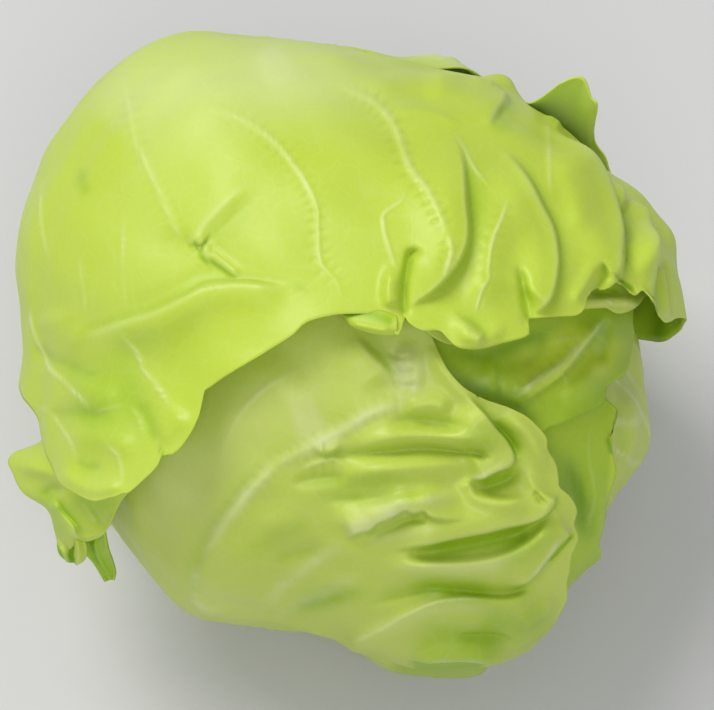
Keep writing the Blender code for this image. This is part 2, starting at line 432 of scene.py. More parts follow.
@dataclass(frozen=True)
class Vein:
    """A raised pale vein, with small puckers beside it where it is thick.

    Attributes:
        name: What it is.
        path: Its course, in pixels.
        width: Its half-width in pixels.
        height: Its height in millimetres.
        paleness: How much it shows in colour.
        ends: The share of its length over which it fades at its start and its end.
        puckers: The height of the puckers beside it, in millimetres.
    """

    name: str
    path: Path
    width: float = 2.4
    height: float = 0.35
    paleness: float = 0.55
    ends: Pixel = (0.25, 0.25)
    puckers: float = 0.0

    def add_to(self, relief: Relief) -> None:
        """Adds the vein's ridge and colour, and puckers as a row of dimples on each side, with painted shade
        down in them.
        """
        trace = Trace.through(self.path)
        reach = 4.0 * self.width + 10.0
        index, side, progress, weight = trace.weigh(relief, reach, self.ends)
        ridge = np.exp(-((side / self.width) ** 2))
        relief.height[index] += self.height * weight * ridge
        relief.vein[index] = np.maximum(relief.vein[index], self.paleness * weight * ridge)
        if self.puckers:
            beside = np.exp(-(((np.abs(side) - 7.0) / 5.0) ** 2))
            along = progress * trace.length
            rows = np.sin(along / 11.0 * math.tau + 1.3 * np.sin(along / 23.0) + 2.2 * (side < 0))
            relief.height[index] -= self.puckers * weight * beside * np.maximum(rows, 0.0)
            # Painted shade in the dimples.
            relief.deep[index] += 0.12 * weight * beside * np.maximum(rows, 0.0)


@dataclass(frozen=True)
class Tint:
    """A soft band of paler or deeper colour along a path, in pixels. Some are the leaf's own tones; many are
    painted highlights and painted shade.
    """

    name: str
    path: Path
    width: float
    pale: float = 0.0
    deep: float = 0.0
    ends: Pixel = (0.3, 0.3)

    def add_to(self, relief: Relief) -> None:
        """Adds the band's colour, fading to both sides as a bell curve."""
        trace = Trace.through(self.path, 4.0)
        index, side, _, weight = trace.weigh(relief, 2.5 * self.width, self.ends)
        weight = weight * np.exp(-((side / self.width) ** 2))
        relief.pale[index] += self.pale * weight
        relief.deep[index] += self.deep * weight


@dataclass(frozen=True)
class Bulge:
    """A swelling or a hollow of the leaf, as a bell curve over the head.

    Attributes:
        name: What it is.
        place: Its azimuth and elevation, in degrees.
        size: Its half-width in degrees.
        height: Its height in millimetres, negative for a hollow.
        pale: How much paler the leaf is there; on the back right leaf, own tone and painted light.
        deep: How much painted shade deepens its colour there.
    """

    name: str
    place: Pixel
    size: float
    height: float
    pale: float = 0.0
    deep: float = 0.0

    def share(self, direction: Array) -> Array:
        """The bell curve's value in each direction, from 0 to 1."""
        cosine = np.clip(direction @ compass(*self.place), -1.0, 1.0)
        return np.exp(-((np.degrees(np.arccos(cosine)) / self.size) ** 2))


@dataclass(frozen=True)
class Seen:
    """Margin points in pixels, on the leaf's own level, with a lift in millimetres."""

    points: tuple[Point, ...]


@dataclass(frozen=True)
class Hidden:
    """Margin points on the far side: azimuth and elevation in degrees, lift in millimetres."""

    points: tuple[Point, ...]


@dataclass(frozen=True)
class RibFan:
    """A leaf's own ribs where the photograph doesn't show them.

    The midrib runs from the stem through waypoints, and side ribs leave it in pairs.

    Attributes:
        course: Azimuth and elevation of the midrib's waypoints, in degrees.
        pairs: How many pairs of side ribs it has.
        spread: The angle between a side rib and the midrib, in degrees.
        reach: The side ribs' length, in degrees round the head.
        swell: How far the leaf swells between its ribs, in millimetres.
        shown: Whether they also show on the side that faces the camera.
    """

    course: tuple[Pixel, ...]
    pairs: int = 7
    spread: float = 38.0
    reach: float = 52.0
    swell: float = 0.9
    shown: bool = False

    def curves(self, flat: FlatMap) -> list[tuple[Array, float]]:
        """The midrib and the side ribs, in the leaf's flat map.

        A side rib starts along the midrib's own way, turned by the spread, and bends back
        towards it as it goes.

        Args:
            flat: The leaf's flat map.

        Returns:
            Each curve's points and its half-width in degrees at the start.
        """
        waypoints = np.array(self.course)
        midrib = smooth_path(flat.place(compass(waypoints[:, 0], waypoints[:, 1])), 1.0)
        way = unit(np.gradient(midrib, axis=0))
        found = [(midrib, 1.5)]
        starts = np.linspace(0.16, 0.86, self.pairs)
        steps = np.linspace(0.0, 1.0, 30)[:, None]
        for number, start in enumerate(starts):
            for hand in (-1.0, 1.0):
                at = min(int((start + 0.03 * hand) * len(midrib)), len(midrib) - 1)
                turn = math.radians(self.spread + 6.0 * math.sin(2.3 * number + hand)) * hand
                forward = way[at]
                aside = np.array([-forward[1], forward[0]])
                length = self.reach * (1.0 - 0.45 * start)
                bend = 1.0 - 0.35 * steps
                course = midrib[at] + length * steps * (
                    math.cos(turn) * forward + math.sin(turn) * bend * aside
                )
                found.append((course, 0.85))
        return found


@dataclass(frozen=True)
class FlatMap:
    """A leaf's flat map: degrees of arc from its middle, along two directions across it."""

    middle: Array
    across: Array
    upward: Array

    @classmethod
    def about(cls, azimuth: float, elevation: float) -> FlatMap:
        """The map about a compass direction."""
        middle = compass(np.array(azimuth), np.array(elevation))
        across = unit(np.cross([0.0, 0.0, 1.0], middle))
        return cls(middle, across, np.cross(middle, across))

    def place(self, directions: Array) -> Array:
        """Each direction's place in the map."""
        arc = np.degrees(np.arccos(np.clip(directions @ self.middle, -1.0, 1.0)))
        angle = np.arctan2(directions @ self.upward, directions @ self.across)
        return np.stack([arc * np.cos(angle), arc * np.sin(angle)], axis=-1)

    def directions(self, places: Array) -> Array:
        """The direction at each place in the map."""
        arc = np.radians(np.hypot(places[..., 0], places[..., 1]))[..., None]
        angle = np.arctan2(places[..., 1], places[..., 0])[..., None]
        sideways = np.cos(angle) * self.across + np.sin(angle) * self.upward
        return np.cos(arc) * self.middle + np.sin(arc) * sideways


def grid_lines(count: int, focus: float, pull: float) -> Array:
    """Even grid lines from -1 to 1, drawn closer together about one place.

    The line density is 1 + pull times a bell curve about the focus.

    Args:
        count: How many spaces there are between the lines.
        focus: Where they are closest.
        pull: How much closer. 0 leaves them even.

    Returns:
        The lines' places.
    """
    fine = np.linspace(-1.0, 1.0, 2001)
    density = 1.0 + pull * np.exp(-(((fine - focus) / 0.55) ** 2))
    share = np.concatenate([[0.0], np.cumsum((density[1:] + density[:-1]) / 2)])
    return np.interp(np.linspace(0.0, 1.0, count + 1), share / share[-1], fine)


def surface_normals(points: Array) -> Array:
    """Unit normals of a grid of points: the cross product of its two slopes."""
    return unit(np.cross(np.gradient(points, axis=0), np.gradient(points, axis=1)))


def ring_of(rows: int, columns: int) -> Array:
    """The numbers of a grid's border points, once round, anticlockwise from (0, 0)."""
    grid = np.arange(rows * columns).reshape(rows, columns)
    return np.concatenate([grid[:-1, 0], grid[-1, :-1], grid[:0:-1, -1], grid[0, :0:-1]])


def faces_of(grid: Array) -> Array:
    """The four corners of each cell of a grid of point numbers."""
    return np.stack([grid[:-1, :-1], grid[1:, :-1], grid[1:, 1:], grid[:-1, 1:]], -1).reshape(-1, 4)


@dataclass
class Shell:
    """A closed shell as arrays: points, each face's corners and their count, and paints."""

    vertices: Array
    corners: Array
    sizes: Array
    paints: Paints


def thin_shell(front: Array, thickness: Array, paints: Paints) -> Shell:
    """A closed thin shell: the grid of points in front, and every second one behind.

    The back lies inwards along the front's normals, and a strip of triangles round the
    border joins the two, two front edges to each back edge.

    Args:
        front: Points on a grid with an even number of spaces each way.
        thickness: How far behind each the back lies.
        paints: Numbers from 0 to 1 at each point.

    Returns:
        The shell.
    """
    rows, columns = front.shape[:2]
    back = (front - thickness[..., None] * surface_normals(front))[::2, ::2]
    count = rows * columns
    front_grid = np.arange(count).reshape(rows, columns)
    back_grid = count + np.arange(back.shape[0] * back.shape[1]).reshape(back.shape[:2])
    front_faces = faces_of(front_grid)
    back_faces = faces_of(back_grid)[:, [0, 3, 2, 1]]
    outer = ring_of(rows, columns)
    inner = count + ring_of(*back.shape[:2])
    here, half, onward = outer[::2], outer[1::2], np.roll(outer[::2], -1)
    below, below_onward = inner, np.roll(inner, -1)
    strip = np.concatenate([
        np.stack([half, here, below], -1),
        np.stack([below_onward, half, below], -1),
        np.stack([onward, half, below_onward], -1),
    ])
    vertices = np.concatenate([front.reshape(-1, 3), back.reshape(-1, 3)])
    corners = np.concatenate([front_faces.ravel(), back_faces.ravel(), strip.ravel()])
    sizes = np.repeat([4, 3], [len(front_faces) + len(back_faces), len(strip)])
    both = {
        key: np.concatenate([values.ravel(), values[::2, ::2].ravel()])
        for key, values in paints.items()
    }
    return Shell(vertices, corners, sizes, both)


def mesh_of(name: str, shells: list[Shell]) -> Mesh:
    """One mesh of several shells, shaded smooth, with the paints as its attributes.

    Args:
        name: The mesh's name.
        shells: The shells.

    Returns:
        The mesh.
    """
    counts = [len(shell.vertices) for shell in shells]
    offsets = np.concatenate([[0], np.cumsum(counts)[:-1]])
    vertices = np.concatenate([shell.vertices for shell in shells])
    corners = np.concatenate([shell.corners + first for shell, first in zip(shells, offsets)])
    sizes = np.concatenate([shell.sizes for shell in shells])
    mesh = bpy.data.meshes.new(name)
    mesh.vertices.add(len(vertices))
    mesh.vertices.foreach_set("co", vertices.ravel())
    mesh.loops.add(len(corners))
    mesh.loops.foreach_set("vertex_index", corners.astype(np.int32))
    mesh.polygons.add(len(sizes))
    starts = np.concatenate([[0], np.cumsum(sizes)[:-1]])
    mesh.polygons.foreach_set("loop_start", starts.astype(np.int32))
    mesh.update(calc_edges=True)
    for key in shells[0].paints:
        layer = mesh.attributes.new(key, "FLOAT", "POINT")
        values = np.concatenate([shell.paints[key] for shell in shells])
        layer.data.foreach_set("value", values.astype(np.float32))
    mesh.shade_smooth()
    return mesh


def math_node(tree: NodeTree, operation: str, *values: object) -> NodeSocket:
    """A Math node's result, with each value either a number or a socket that feeds it."""
    node = tree.nodes.new("ShaderNodeMath")
    node.operation = operation
    for slot, value in zip(node.inputs, values):
        if isinstance(value, (int, float)):
            slot.default_value = value
        else:
            tree.links.new(value, slot)
    return node.outputs[0]


def noise_node(tree: NodeTree, place: NodeSocket, scale: float, detail: float) -> NodeSocket:
    """A noise texture's value at a place."""
    node = tree.nodes.new("ShaderNodeTexNoise")
    node.inputs["Scale"].default_value = scale
    node.inputs["Detail"].default_value = detail
    tree.links.new(place, node.inputs["Vector"])
    return node.outputs["Fac"]


def attribute_node(tree: NodeTree, name: str) -> NodeSocket:
    """A mesh attribute's value."""
    node = tree.nodes.new("ShaderNodeAttribute")
    node.attribute_name = name
    return node.outputs["Fac"]


def blend_node(tree: NodeTree, first: object, second: object, amount: NodeSocket) -> NodeSocket:
    """The first colour mixed towards the second, each a colour or a socket that gives it."""
    node = tree.nodes.new("ShaderNodeMix")
    node.data_type = "RGBA"
    node.clamp_factor = True
    tree.links.new(amount, node.inputs["Factor"])
    for label, value in (("A", first), ("B", second)):
        if isinstance(value, tuple):
            node.inputs[label].default_value = (*value, 1.0)
        else:
            tree.links.new(value, node.inputs[label])
    return node.outputs["Result"]


def add_bump(tree: NodeTree, height: NodeSocket, strength: float) -> None:
    """Gives the material a fine bump of the height."""
    bump = tree.nodes.new("ShaderNodeBump")
    bump.inputs["Strength"].default_value = strength
    bump.inputs["Distance"].default_value = BUMP_DISTANCE
    tree.links.new(height, bump.inputs["Height"])
    tree.links.new(bump.outputs["Normal"], tree.nodes["Principled BSDF"].inputs["Normal"])


def leaf_tissue_group() -> NodeTree:
    """The leaf's fine structure: cloudy patches, a net of small veins and a waxy grain.

    The net is a Voronoi texture's distance to the cell edges, warped by noise, at two
    sizes. Height rises where there is no vein and is broken by a fine grain.
    """
    group = bpy.data.node_groups.new("leaf_tissue", "ShaderNodeTree")
    for label in ("Patches", "Net", "Breaks", "Height"):
        group.interface.new_socket(label, in_out="OUTPUT", socket_type="NodeSocketFloat")
    sink = group.nodes.new("NodeGroupOutput")
    place = group.nodes.new("ShaderNodeTexCoord").outputs["Object"]
    broad = noise_node(group, place, 28.0, 3.0)
    fine = noise_node(group, place, 900.0, 2.0)
    breaks = math_node(group, "MULTIPLY_ADD", noise_node(group, place, 130.0, 3.0), 2.4, -0.5)
    warp = group.nodes.new("ShaderNodeTexNoise")
    warp.inputs["Scale"].default_value = 60.0
    group.links.new(place, warp.inputs["Vector"])
    bend = group.nodes.new("ShaderNodeVectorMath")
    bend.operation = "MULTIPLY_ADD"
    group.links.new(warp.outputs["Color"], bend.inputs[0])
    bend.inputs[1].default_value = (0.012, 0.012, 0.012)
    group.links.new(place, bend.inputs[2])
    nets = []
    for scale in NET_SCALES:
        cells = group.nodes.new("ShaderNodeTexVoronoi")
        cells.feature = "DISTANCE_TO_EDGE"
        group.links.new(bend.outputs[0], cells.inputs["Vector"])
        cells.inputs["Scale"].default_value = scale
        edge = group.nodes.new("ShaderNodeMapRange")
        edge.interpolation_type = "SMOOTHSTEP"
        edge.inputs["From Max"].default_value = 0.11
        edge.inputs["To Min"].default_value = 1.0
        edge.inputs["To Max"].default_value = 0.0
        group.links.new(cells.outputs["Distance"], edge.inputs["Value"])
        nets.append(edge.outputs["Result"])
    net = math_node(group, "MAXIMUM", nets[0], math_node(group, "MULTIPLY", nets[1], 0.5))
    grain = math_node(group, "MULTIPLY", fine, 0.25)
    grooves = math_node(group, "MULTIPLY", net, 0.3)
    group.links.new(broad, sink.inputs["Patches"])
    group.links.new(net, sink.inputs["Net"])
    group.links.new(breaks, sink.inputs["Breaks"])
    group.links.new(math_node(group, "SUBTRACT", grain, grooves), sink.inputs["Height"])
    return group


@dataclass(frozen=True)
class LeafFinish:
    """A leaf's finish: its colours and how waxy it is."""

    name: str
    body: Colour
    # pale and deep serve own tones and also painted highlights and painted shade.
    pale: Colour
    deep: Colour
    vein: Colour
    roughness: float = 0.42
    patchiness: float = 0.35
    net: float = 0.05
    grain: float = 0.12

    def material(self, tissue: NodeTree) -> Material:
        """The material: body colour, then pale and deep places (own tones, painted highlights and painted
        shade), the net, and the veins.

        Args:
            tissue: The shared node group of the leaf's fine structure.

        Returns:
            The new material.
        """
        made = bpy.data.materials.new(self.name)
        made.use_nodes = True
        tree = made.node_tree
        shader = tree.nodes["Principled BSDF"]
        group = tree.nodes.new("ShaderNodeGroup")
        group.node_tree = tissue
        patches = math_node(tree, "SUBTRACT", group.outputs["Patches"], 0.5)
        patches = math_node(tree, "MULTIPLY", patches, self.patchiness * 2.0)
        pale = math_node(tree, "ADD", attribute_node(tree, "pale"), patches)
        net = math_node(tree, "MULTIPLY", group.outputs["Net"], self.net)
        # Paler tones and painted highlights, then darker tones and painted shade.
        colour = blend_node(tree, self.body, self.pale, pale)
        colour = blend_node(tree, colour, self.deep, attribute_node(tree, "deep"))
        colour = blend_node(tree, colour, self.vein, net)
        ribs = math_node(tree, "MULTIPLY", attribute_node(tree, "vein"), group.outputs["Breaks"])
        colour = blend_node(tree, colour, self.vein, ribs)
        tree.links.new(colour, shader.inputs["Base Color"])
        rough = math_node(tree, "MULTIPLY_ADD", group.outputs["Patches"], 0.16, self.roughness - 0.08)
        tree.links.new(rough, shader.inputs["Roughness"])
        add_bump(tree, group.outputs["Height"], self.grain)
        shader.inputs["Metallic"].default_value = 0.0
        shader.inputs["Specular IOR Level"].default_value = 0.38
        shader.inputs["Subsurface Weight"].default_value = 0.22
        shader.inputs["Subsurface Radius"].default_value = (0.8, 1.0, 0.25)
        shader.inputs["Subsurface Scale"].default_value = 0.0022
        return made


@dataclass(frozen=True)
class Scrap:
    """A small loose stretch of a leaf between two edges, such as a curl or a hanging fold.

    An edge's point is a pixel, and how far in front of the head's middle it lies, in
    millimetres along the view.

    Attributes:
        first: One edge.
        second: The other edge, the same way along.
        cup: How far it swells towards the camera between them, in millimetres.
        cells: Grid spaces along the edges and across.
        folds: Folds traced in the photograph.
        veins: Veins traced in the photograph.
        tints: Soft bands of colour.
    """

    first: tuple[Point, ...]
    second: tuple[Point, ...]
    cup: float = 2.0
    cells: tuple[int, int] = (60, 30)
    folds: tuple[Fold, ...] = ()
    veins: tuple[Vein, ...] = ()
    tints: tuple[Tint, ...] = ()

    def edge(self, view: PhotoView, rows: tuple[Point, ...]) -> Array:
        """Evenly spaced points in space along an edge."""
        points = np.array(rows, float)
        points[:, 2] *= MM / view.pixel_size
        dense = smooth_path(points, 0.4)
        places = np.linspace(0, len(dense) - 1, self.cells[0] + 1)
        even = np.stack([np.interp(places, np.arange(len(dense)), part) for part in dense.T], 1)
        sights = view.sights(even)
        reach = (view.distance - even[:, 2] * view.pixel_size) / -(sights @ view.out)
        return view.eye + reach[:, None] * sights

    def surface(self, form: HeadForm, view: PhotoView) -> Sheet:
        """The scrap's outer face: straight lines between the edges, swollen as 4t (1 - t).

        Args:
            form: Not used: a scrap lies off the head's form.
            view: The photograph's camera.

        Returns:
            The points, the thickness and the paints, each on the grid.
        """
        one, other = self.edge(view, self.first), self.edge(view, self.second)
        across = np.linspace(0.0, 1.0, self.cells[1] + 1)[None, :, None]
        base = one[:, None] * (1 - across) + other[:, None] * across
        if (surface_normals(base) @ view.out).mean() < 0:
            base = base[:, ::-1]
        base = base + self.cup * MM * 4 * across * (1 - across) * view.out
        x, y = view.pixels(base)
        relief = Relief(x.ravel(), y.ravel())
        for feature in (*self.folds, *self.veins, *self.tints):
            feature.add_to(relief)
        shift = relief.shift.reshape(*x.shape, 2) * view.pixel_size
        points = base + relief.height.reshape(x.shape)[..., None] * MM * view.out
        points = points + shift[..., :1] * view.right - shift[..., 1:] * view.up
        paints = {
            name: np.clip(getattr(relief, name).reshape(x.shape), 0.0, 1.0)
            for name in ("vein", "pale", "deep")
        }
        return points, np.full(x.shape, LEAF_THICKNESS), paints


@dataclass(frozen=True)
class Leaf:
    """One loose leaf over the head.

    Attributes:
        name: The piece's name, and that of the CAD node that it replaces.
        slot: The name of the finish it takes.
        middle: Azimuth and elevation of the middle of its flat map, in degrees.
        depth: How far below the outermost level it lies, in millimetres.
        margin: Stretches of its margin, in order round it.
        fan: Its own ribs on the far side.
        cells: Grid spaces along and up its flat map.
        focus: Where on the grid, from -1 to 1, the lines are closest.
        pull: How much closer the lines are there, along and up.
        folds: Folds traced in the photograph.
        veins: Veins traced in the photograph.
        tints: Soft bands of colour.
        bulges: Swellings and hollows of its whole sheet.
        covers: Edges of leaves that lie over it, with the visible side on their right.
        ruffle: How far the margin waves on the far side, in millimetres.
        lift_starts: The share of the way to the margin where the margin's lift begins.
        deepest: How far a crease may sink, in millimetres.
        joined: Further sheets of the same leaf, such as a stretch of it folded under.
    """

    name: str
    slot: str
    middle: Pixel
    depth: float
    margin: tuple[Seen | Hidden, ...]
    fan: RibFan
    cells: tuple[int, int] = (120, 120)
    focus: Pixel = (0.0, 0.0)
    pull: Pixel = (0.0, 0.0)
    folds: tuple[Fold, ...] = ()
    veins: tuple[Vein, ...] = ()
    tints: tuple[Tint, ...] = ()
    bulges: tuple[Bulge, ...] = ()
    covers: tuple[Path, ...] = ()
    ruffle: float = 1.2
    lift_starts: float = 0.62
    deepest: float = 2.4
    joined: tuple[Scrap, ...] = ()

    def level(self, form: HeadForm, view: PhotoView, direction: Array) -> Array:
        """How far the flat sheet lies from the head's middle in each direction."""
        radius = form.radius(view, direction) + form.undulation(direction) - self.depth * MM
        return radius + MM * sum(bulge.height * bulge.share(direction) for bulge in self.bulges)

    def margin_curve(self, form: HeadForm, view: PhotoView, flat: FlatMap) -> tuple[Array, ...]:
        """The margin about the leaf's middle, as a smooth closed curve.

        A seen point lies where its line of sight first meets the leaf's level, raised by
        its lift, or comes nearest to it.

        Returns:
            Rising angles; the reach at each in degrees of arc, as the margin's own outline,
            a little smoothed and much smoothed; and the lift in metres.
        """
        rows = []
        for stretch in self.margin:
            points = np.array(stretch.points, float)
            lift = points[:, 2] * MM
            if isinstance(stretch, Hidden):
                direction = compass(points[:, 0], points[:, 1])
            else:
                direction = self.meet(form, view, points, lift)
            rows.append(np.column_stack([flat.place(direction), lift / MM]))
        curve = smooth_path(np.concatenate(rows), MARGIN_SPACING, closed=True)
        angles = np.mod(np.arctan2(curve[:, 1], curve[:, 0]), math.tau)
        order = np.lexsort((np.hypot(curve[:, 0], curve[:, 1]), angles))
        bins = (angles[order] / math.tau * MARGIN_STEPS).astype(int)
        outermost = order[np.flatnonzero(np.diff(np.append(bins, -1)))]
        reach = np.hypot(curve[:, 0], curve[:, 1])
        farthest = np.zeros(MARGIN_STEPS)
        np.maximum.at(farthest, bins, reach[order])
        found = np.unique(bins)
        turn = math.tau / MARGIN_STEPS
        steps = (np.arange(MARGIN_STEPS) + 0.5) * turn
        own = np.interp(steps, (found + 0.5) * turn, farthest[found], period=math.tau)
        lifts = np.interp(steps, (found + 0.5) * turn, curve[outermost, 2], period=math.tau)
        spectrum = np.fft.rfft(np.stack([own, lifts]))
        waves = np.arange(spectrum.shape[1])
        kept = ((0, OUTLINE_WAVES), (0, CALM_WAVES), (1, LIFT_WAVES))
        eased, calm, soft = (
            np.fft.irfft(spectrum[row] * np.exp(-((waves / most) ** 2)), MARGIN_STEPS)
            for row, most in kept
        )
        return steps, own, eased, calm, soft * MM

    def meet(self, form: HeadForm, view: PhotoView, points: Array, lift: Array) -> Array:
        """Directions from the head's middle to where lines of sight meet the leaf's level."""
        reach = np.linspace(view.distance - 0.18, view.distance + 0.05, 1800)[None, :, None]
        offset = view.eye - np.array(form.middle) + reach * view.sights(points)[:, None, :]
        direction = unit(offset)
        level = self.level(form, view, direction) + lift[:, None]
        height = np.linalg.norm(offset, axis=-1) - level
        first = np.argmax(height < 0, axis=1)
        found = np.where((height < 0).any(axis=1), first, np.argmin(height, axis=1))
        return direction[np.arange(len(points)), found]

    def surface(self, form: HeadForm, view: PhotoView) -> Sheet:
        """The leaf's outer face.

        A square grid goes to a disc, x = a sqrt(1 - b²/2), y = b sqrt(1 - a²/2), and the
        disc is stretched in the flat map, to a calm outline inside and the margin's own at
        the rim. Each point stands at the head's radius in its direction, less the leaf's
        depth, plus the margin's lift, and its relief is added towards the camera where it
        faces it, and outwards elsewhere.

        Returns:
            The points, the thickness and the paints, each on the grid.
        """
        flat = FlatMap.about(*self.middle)
        lines = [
            grid_lines(count, focus, pull)
            for count, focus, pull in zip(self.cells, self.focus, self.pull)
        ]
        first, second = np.meshgrid(*lines, indexing="ij")
        disc_x = first * np.sqrt(1 - second**2 / 2)
        disc_y = second * np.sqrt(1 - first**2 / 2)
        share = np.clip(np.hypot(disc_x, disc_y), 0.0, 1.0)
        angle = np.arctan2(disc_y, disc_x)
        angles, *rows = self.margin_curve(form, view, flat)
        own, eased, calm, edge_lift = (np.interp(angle, angles, row, period=math.tau) for row in rows)
        arc = calm + (eased - calm) * smoothstep(0.55, 0.95, share)
        arc = share * (arc + (own - eased) * smoothstep(0.86, 1.0, share))
        places = np.stack([arc * np.cos(angle), arc * np.sin(angle)], axis=-1)
        direction = flat.directions(places)
        beyond = (arc / calm - self.lift_starts) / (1 - self.lift_starts)
        rise = np.clip(beyond, 0.0, 1.4) ** 2
        radius = self.level(form, view, direction) + edge_lift * rise
        base = np.array(form.middle) + radius[..., None] * direction
        to_camera = unit(view.eye - base)
        facing = np.sum(direction * to_camera, axis=-1)
        x, y = view.pixels(base)
        relief = self.traced_relief(x.ravel(), y.ravel(), facing.ravel())
        height = relief.height.reshape(share.shape) * MM
        shift = relief.shift.reshape(*share.shape, 2) * view.pixel_size
        own_height, own_vein = self.own_relief(flat, places, share, angle, facing)
        lean = smoothstep(0.12, 0.5, facing)[..., None]
        way = unit(lean * to_camera + (1 - lean) * direction)
        points = base + height[..., None] * way + own_height[..., None] * direction
        points = points + shift[..., :1] * view.right - shift[..., 1:] * view.up
        thickness = LEAF_THICKNESS * (1 - 0.45 * smoothstep(0.93, 1.0, share))
        vein = np.maximum(relief.vein.reshape(share.shape), own_vein)
        pale, deep = relief.pale.reshape(share.shape), relief.deep.reshape(share.shape)
        # Bulges paint paler and deeper places too, some of them painted light and painted shade.
        for bulge in self.bulges:
            pale = pale + bulge.pale * bulge.share(direction)
            deep = deep + bulge.deep * bulge.share(direction)
        paints = {"vein": vein, "pale": pale, "deep": deep}
        return points, thickness, {key: np.clip(value, 0.0, 1.0) for key, value in paints.items()}

    def traced_relief(self, x: Array, y: Array, facing: Array) -> Relief:
        """The folds, veins and tints traced in the photograph, where the leaf shows there.

        Relief sinks away within a few pixels under the edge of a covering leaf.
        """
        relief = Relief(x, y)
        for feature in (*self.folds, *self.veins, *self.tints):
            feature.add_to(relief)
        seen = smoothstep(-0.05, 0.12, facing)
        tucked = np.ones_like(seen)
        for cover in self.covers:
            trace = Trace.through(cover, 3.0)
            index, side, _, _ = trace.near(x, y, 60.0)
            tucked[index] = np.minimum(tucked[index], smoothstep(-14.0, 2.0, side))
        sunk = -self.deepest * (1.0 - np.exp(np.minimum(relief.height, 0.0) / self.deepest))
        relief.height = np.where(relief.height < 0, sunk, relief.height) * seen * tucked
        relief.shift *= (seen * tucked)[:, None]
        for layer in (relief.vein, relief.pale, relief.deep):
            layer *= seen
        return relief

    def own_relief(
        self, flat: FlatMap, places: Array, share: Array, angle: Array, facing: Array
    ) -> tuple[Array, Array]:
        """The leaf's own ribs, its swelling between them and its ruffled margin.

        Returns:
            Heights in metres and the ribs' paint.
        """
        shown = np.ones_like(facing) if self.fan.shown else 1 - smoothstep(-0.1, 0.12, facing)
        spots = places.reshape(-1, 2)
        ribs = np.zeros(len(spots))
        paint = np.zeros(len(spots))
        for course, width in self.fan.curves(flat):
            low, high = course.min(axis=0) - 12.0, course.max(axis=0) + 12.0
            index = np.flatnonzero(((spots > low) & (spots < high)).all(axis=1))
            if not len(index):
                continue
            offset = spots[index, None, :] - course[None, :, :]
            away = np.einsum("ijk,ijk->ij", offset, offset)
            nearest = np.argmin(away, axis=1)
            away = np.sqrt(away[np.arange(len(index)), nearest])
            narrow = width * (1.0 - 0.65 * nearest / len(course))
            ribs[index] = np.maximum(ribs[index], np.exp(-((away / 4.5) ** 2)))
            paint[index] = np.maximum(paint[index], np.exp(-((away / narrow) ** 2)))
        ribs, paint = ribs.reshape(share.shape), paint.reshape(share.shape)
        swell = self.fan.swell * MM * (1.0 - ribs) + 0.5 * MM * paint
        waves = np.sin(9 * angle + 0.7) + 0.7 * np.sin(17 * angle + 2.1) + 0.4 * np.sin(31 * angle)
        ruffle = self.ruffle * MM * waves * smoothstep(0.82, 1.0, share)
        return shown * (swell + ruffle), shown * paint * 0.6

    def build(self, form: HeadForm, view: PhotoView, finish: Material) -> Object:
        """Makes the leaf's object, which takes the place of the CAD node of its name."""
        shells = [thin_shell(*sheet.surface(form, view)) for sheet in (self, *self.joined)]
        return add_piece(mesh_of(self.name, shells), finish, self.name)


def add_piece(mesh: Mesh, finish: Material, node: str) -> Object:
    """Adds a mesh as a piece that replaces a CAD node and rides on the body."""
    mesh.materials.append(finish)
    piece = bpy.data.objects.new(mesh.name, mesh)
    bpy.context.scene.collection.objects.link(piece)
    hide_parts(node)
    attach(piece, "root")
    LOG.info("%s: %d triangles", mesh.name, len(mesh.loops) - 2 * len(mesh.polygons))
    return piece


def petiole(azimuth: float, elevation: float) -> Hidden:
    """Where a leaf narrows and meets the stem, as three margin points."""
    side, rise = 32.0, elevation + 11.0
    return Hidden(((azimuth - side, rise, 0), (azimuth, elevation, 0), (azimuth + side, rise, 0)))


TOP_FRONT_MARGIN: Path = (
    (128, 489), (137, 486), (156, 468), (164, 455), (177, 451), (190, 435), (198, 417), (201, 402),
    (201, 393), (242, 365), (269, 349), (291, 335), (305, 322), (328, 315), (346, 313), (374, 314),
    (387, 320), (397, 335), (403, 324), (405, 312), (410, 322), (423, 330), (439, 330),
    (444, 333), (451, 342), (459, 348), (478, 349), (502, 343), (527, 335), (529, 320),
    (545, 317), (560, 316), (576, 315), (584, 308), (593, 290), (612, 287), (622, 280),
    (630, 288), (638, 294),
)


def flap_underfold() -> Scrap:
    """The stretch of the left flap that hangs below its lip, with the lobe at its left."""
    return Scrap(
        ((50, 432, 27), (36, 444, 25), (15, 452, 21), (8, 461, 20), (12, 472, 21), (23, 493, 23),
            (48, 510, 27), (54, 529, 24), (58, 546, 19), (61, 556, 16)),
        ((104, 446, 58), (124, 458, 62), (136, 474, 62), (130, 490, 57), (121, 502, 52), (115, 514, 47),
            (106, 532, 39), (96, 539, 33), (84, 542, 28), (76, 545, 24)),
        cup=3, cells=(84, 84),
        folds=(
            Fold("lobe", CREST, ((14, 462), (30, 466), (52, 472), (80, 486)), 3, 12, 9),
            Fold("turn under the lobe", CREASE, ((40, 500), (50, 490), (66, 488)), 1.6, 6, 6),
            Fold("middle fold", LAP, ((80, 541), (74, 526), (62, 512), (54, 498)), 2.6, 10, 2.4, (0.2, 0.2),
                1),
            Fold("dent", CREASE, ((104, 528), (96, 520), (88, 506)), 1.2, 5, 5),
            Fold("bright rim", CREST, ((115, 514), (106, 531), (84, 540)), 1.6, 5, 4, (0.1, 0.1)),
        ),
        veins=(Vein("vein", ((82, 502), (90, 514), (96, 524)), 2, 0.3, 0.4),),
        tints=(
            # Painted shade under the lip and on the stretch turned under.
            Tint("under the lip", ((60, 498), (88, 506), (124, 500)), 13, deep=0.5),
            Tint("turned under", ((30, 492), (48, 500), (58, 520), (62, 548)), 9, deep=0.4),
        ),
    )


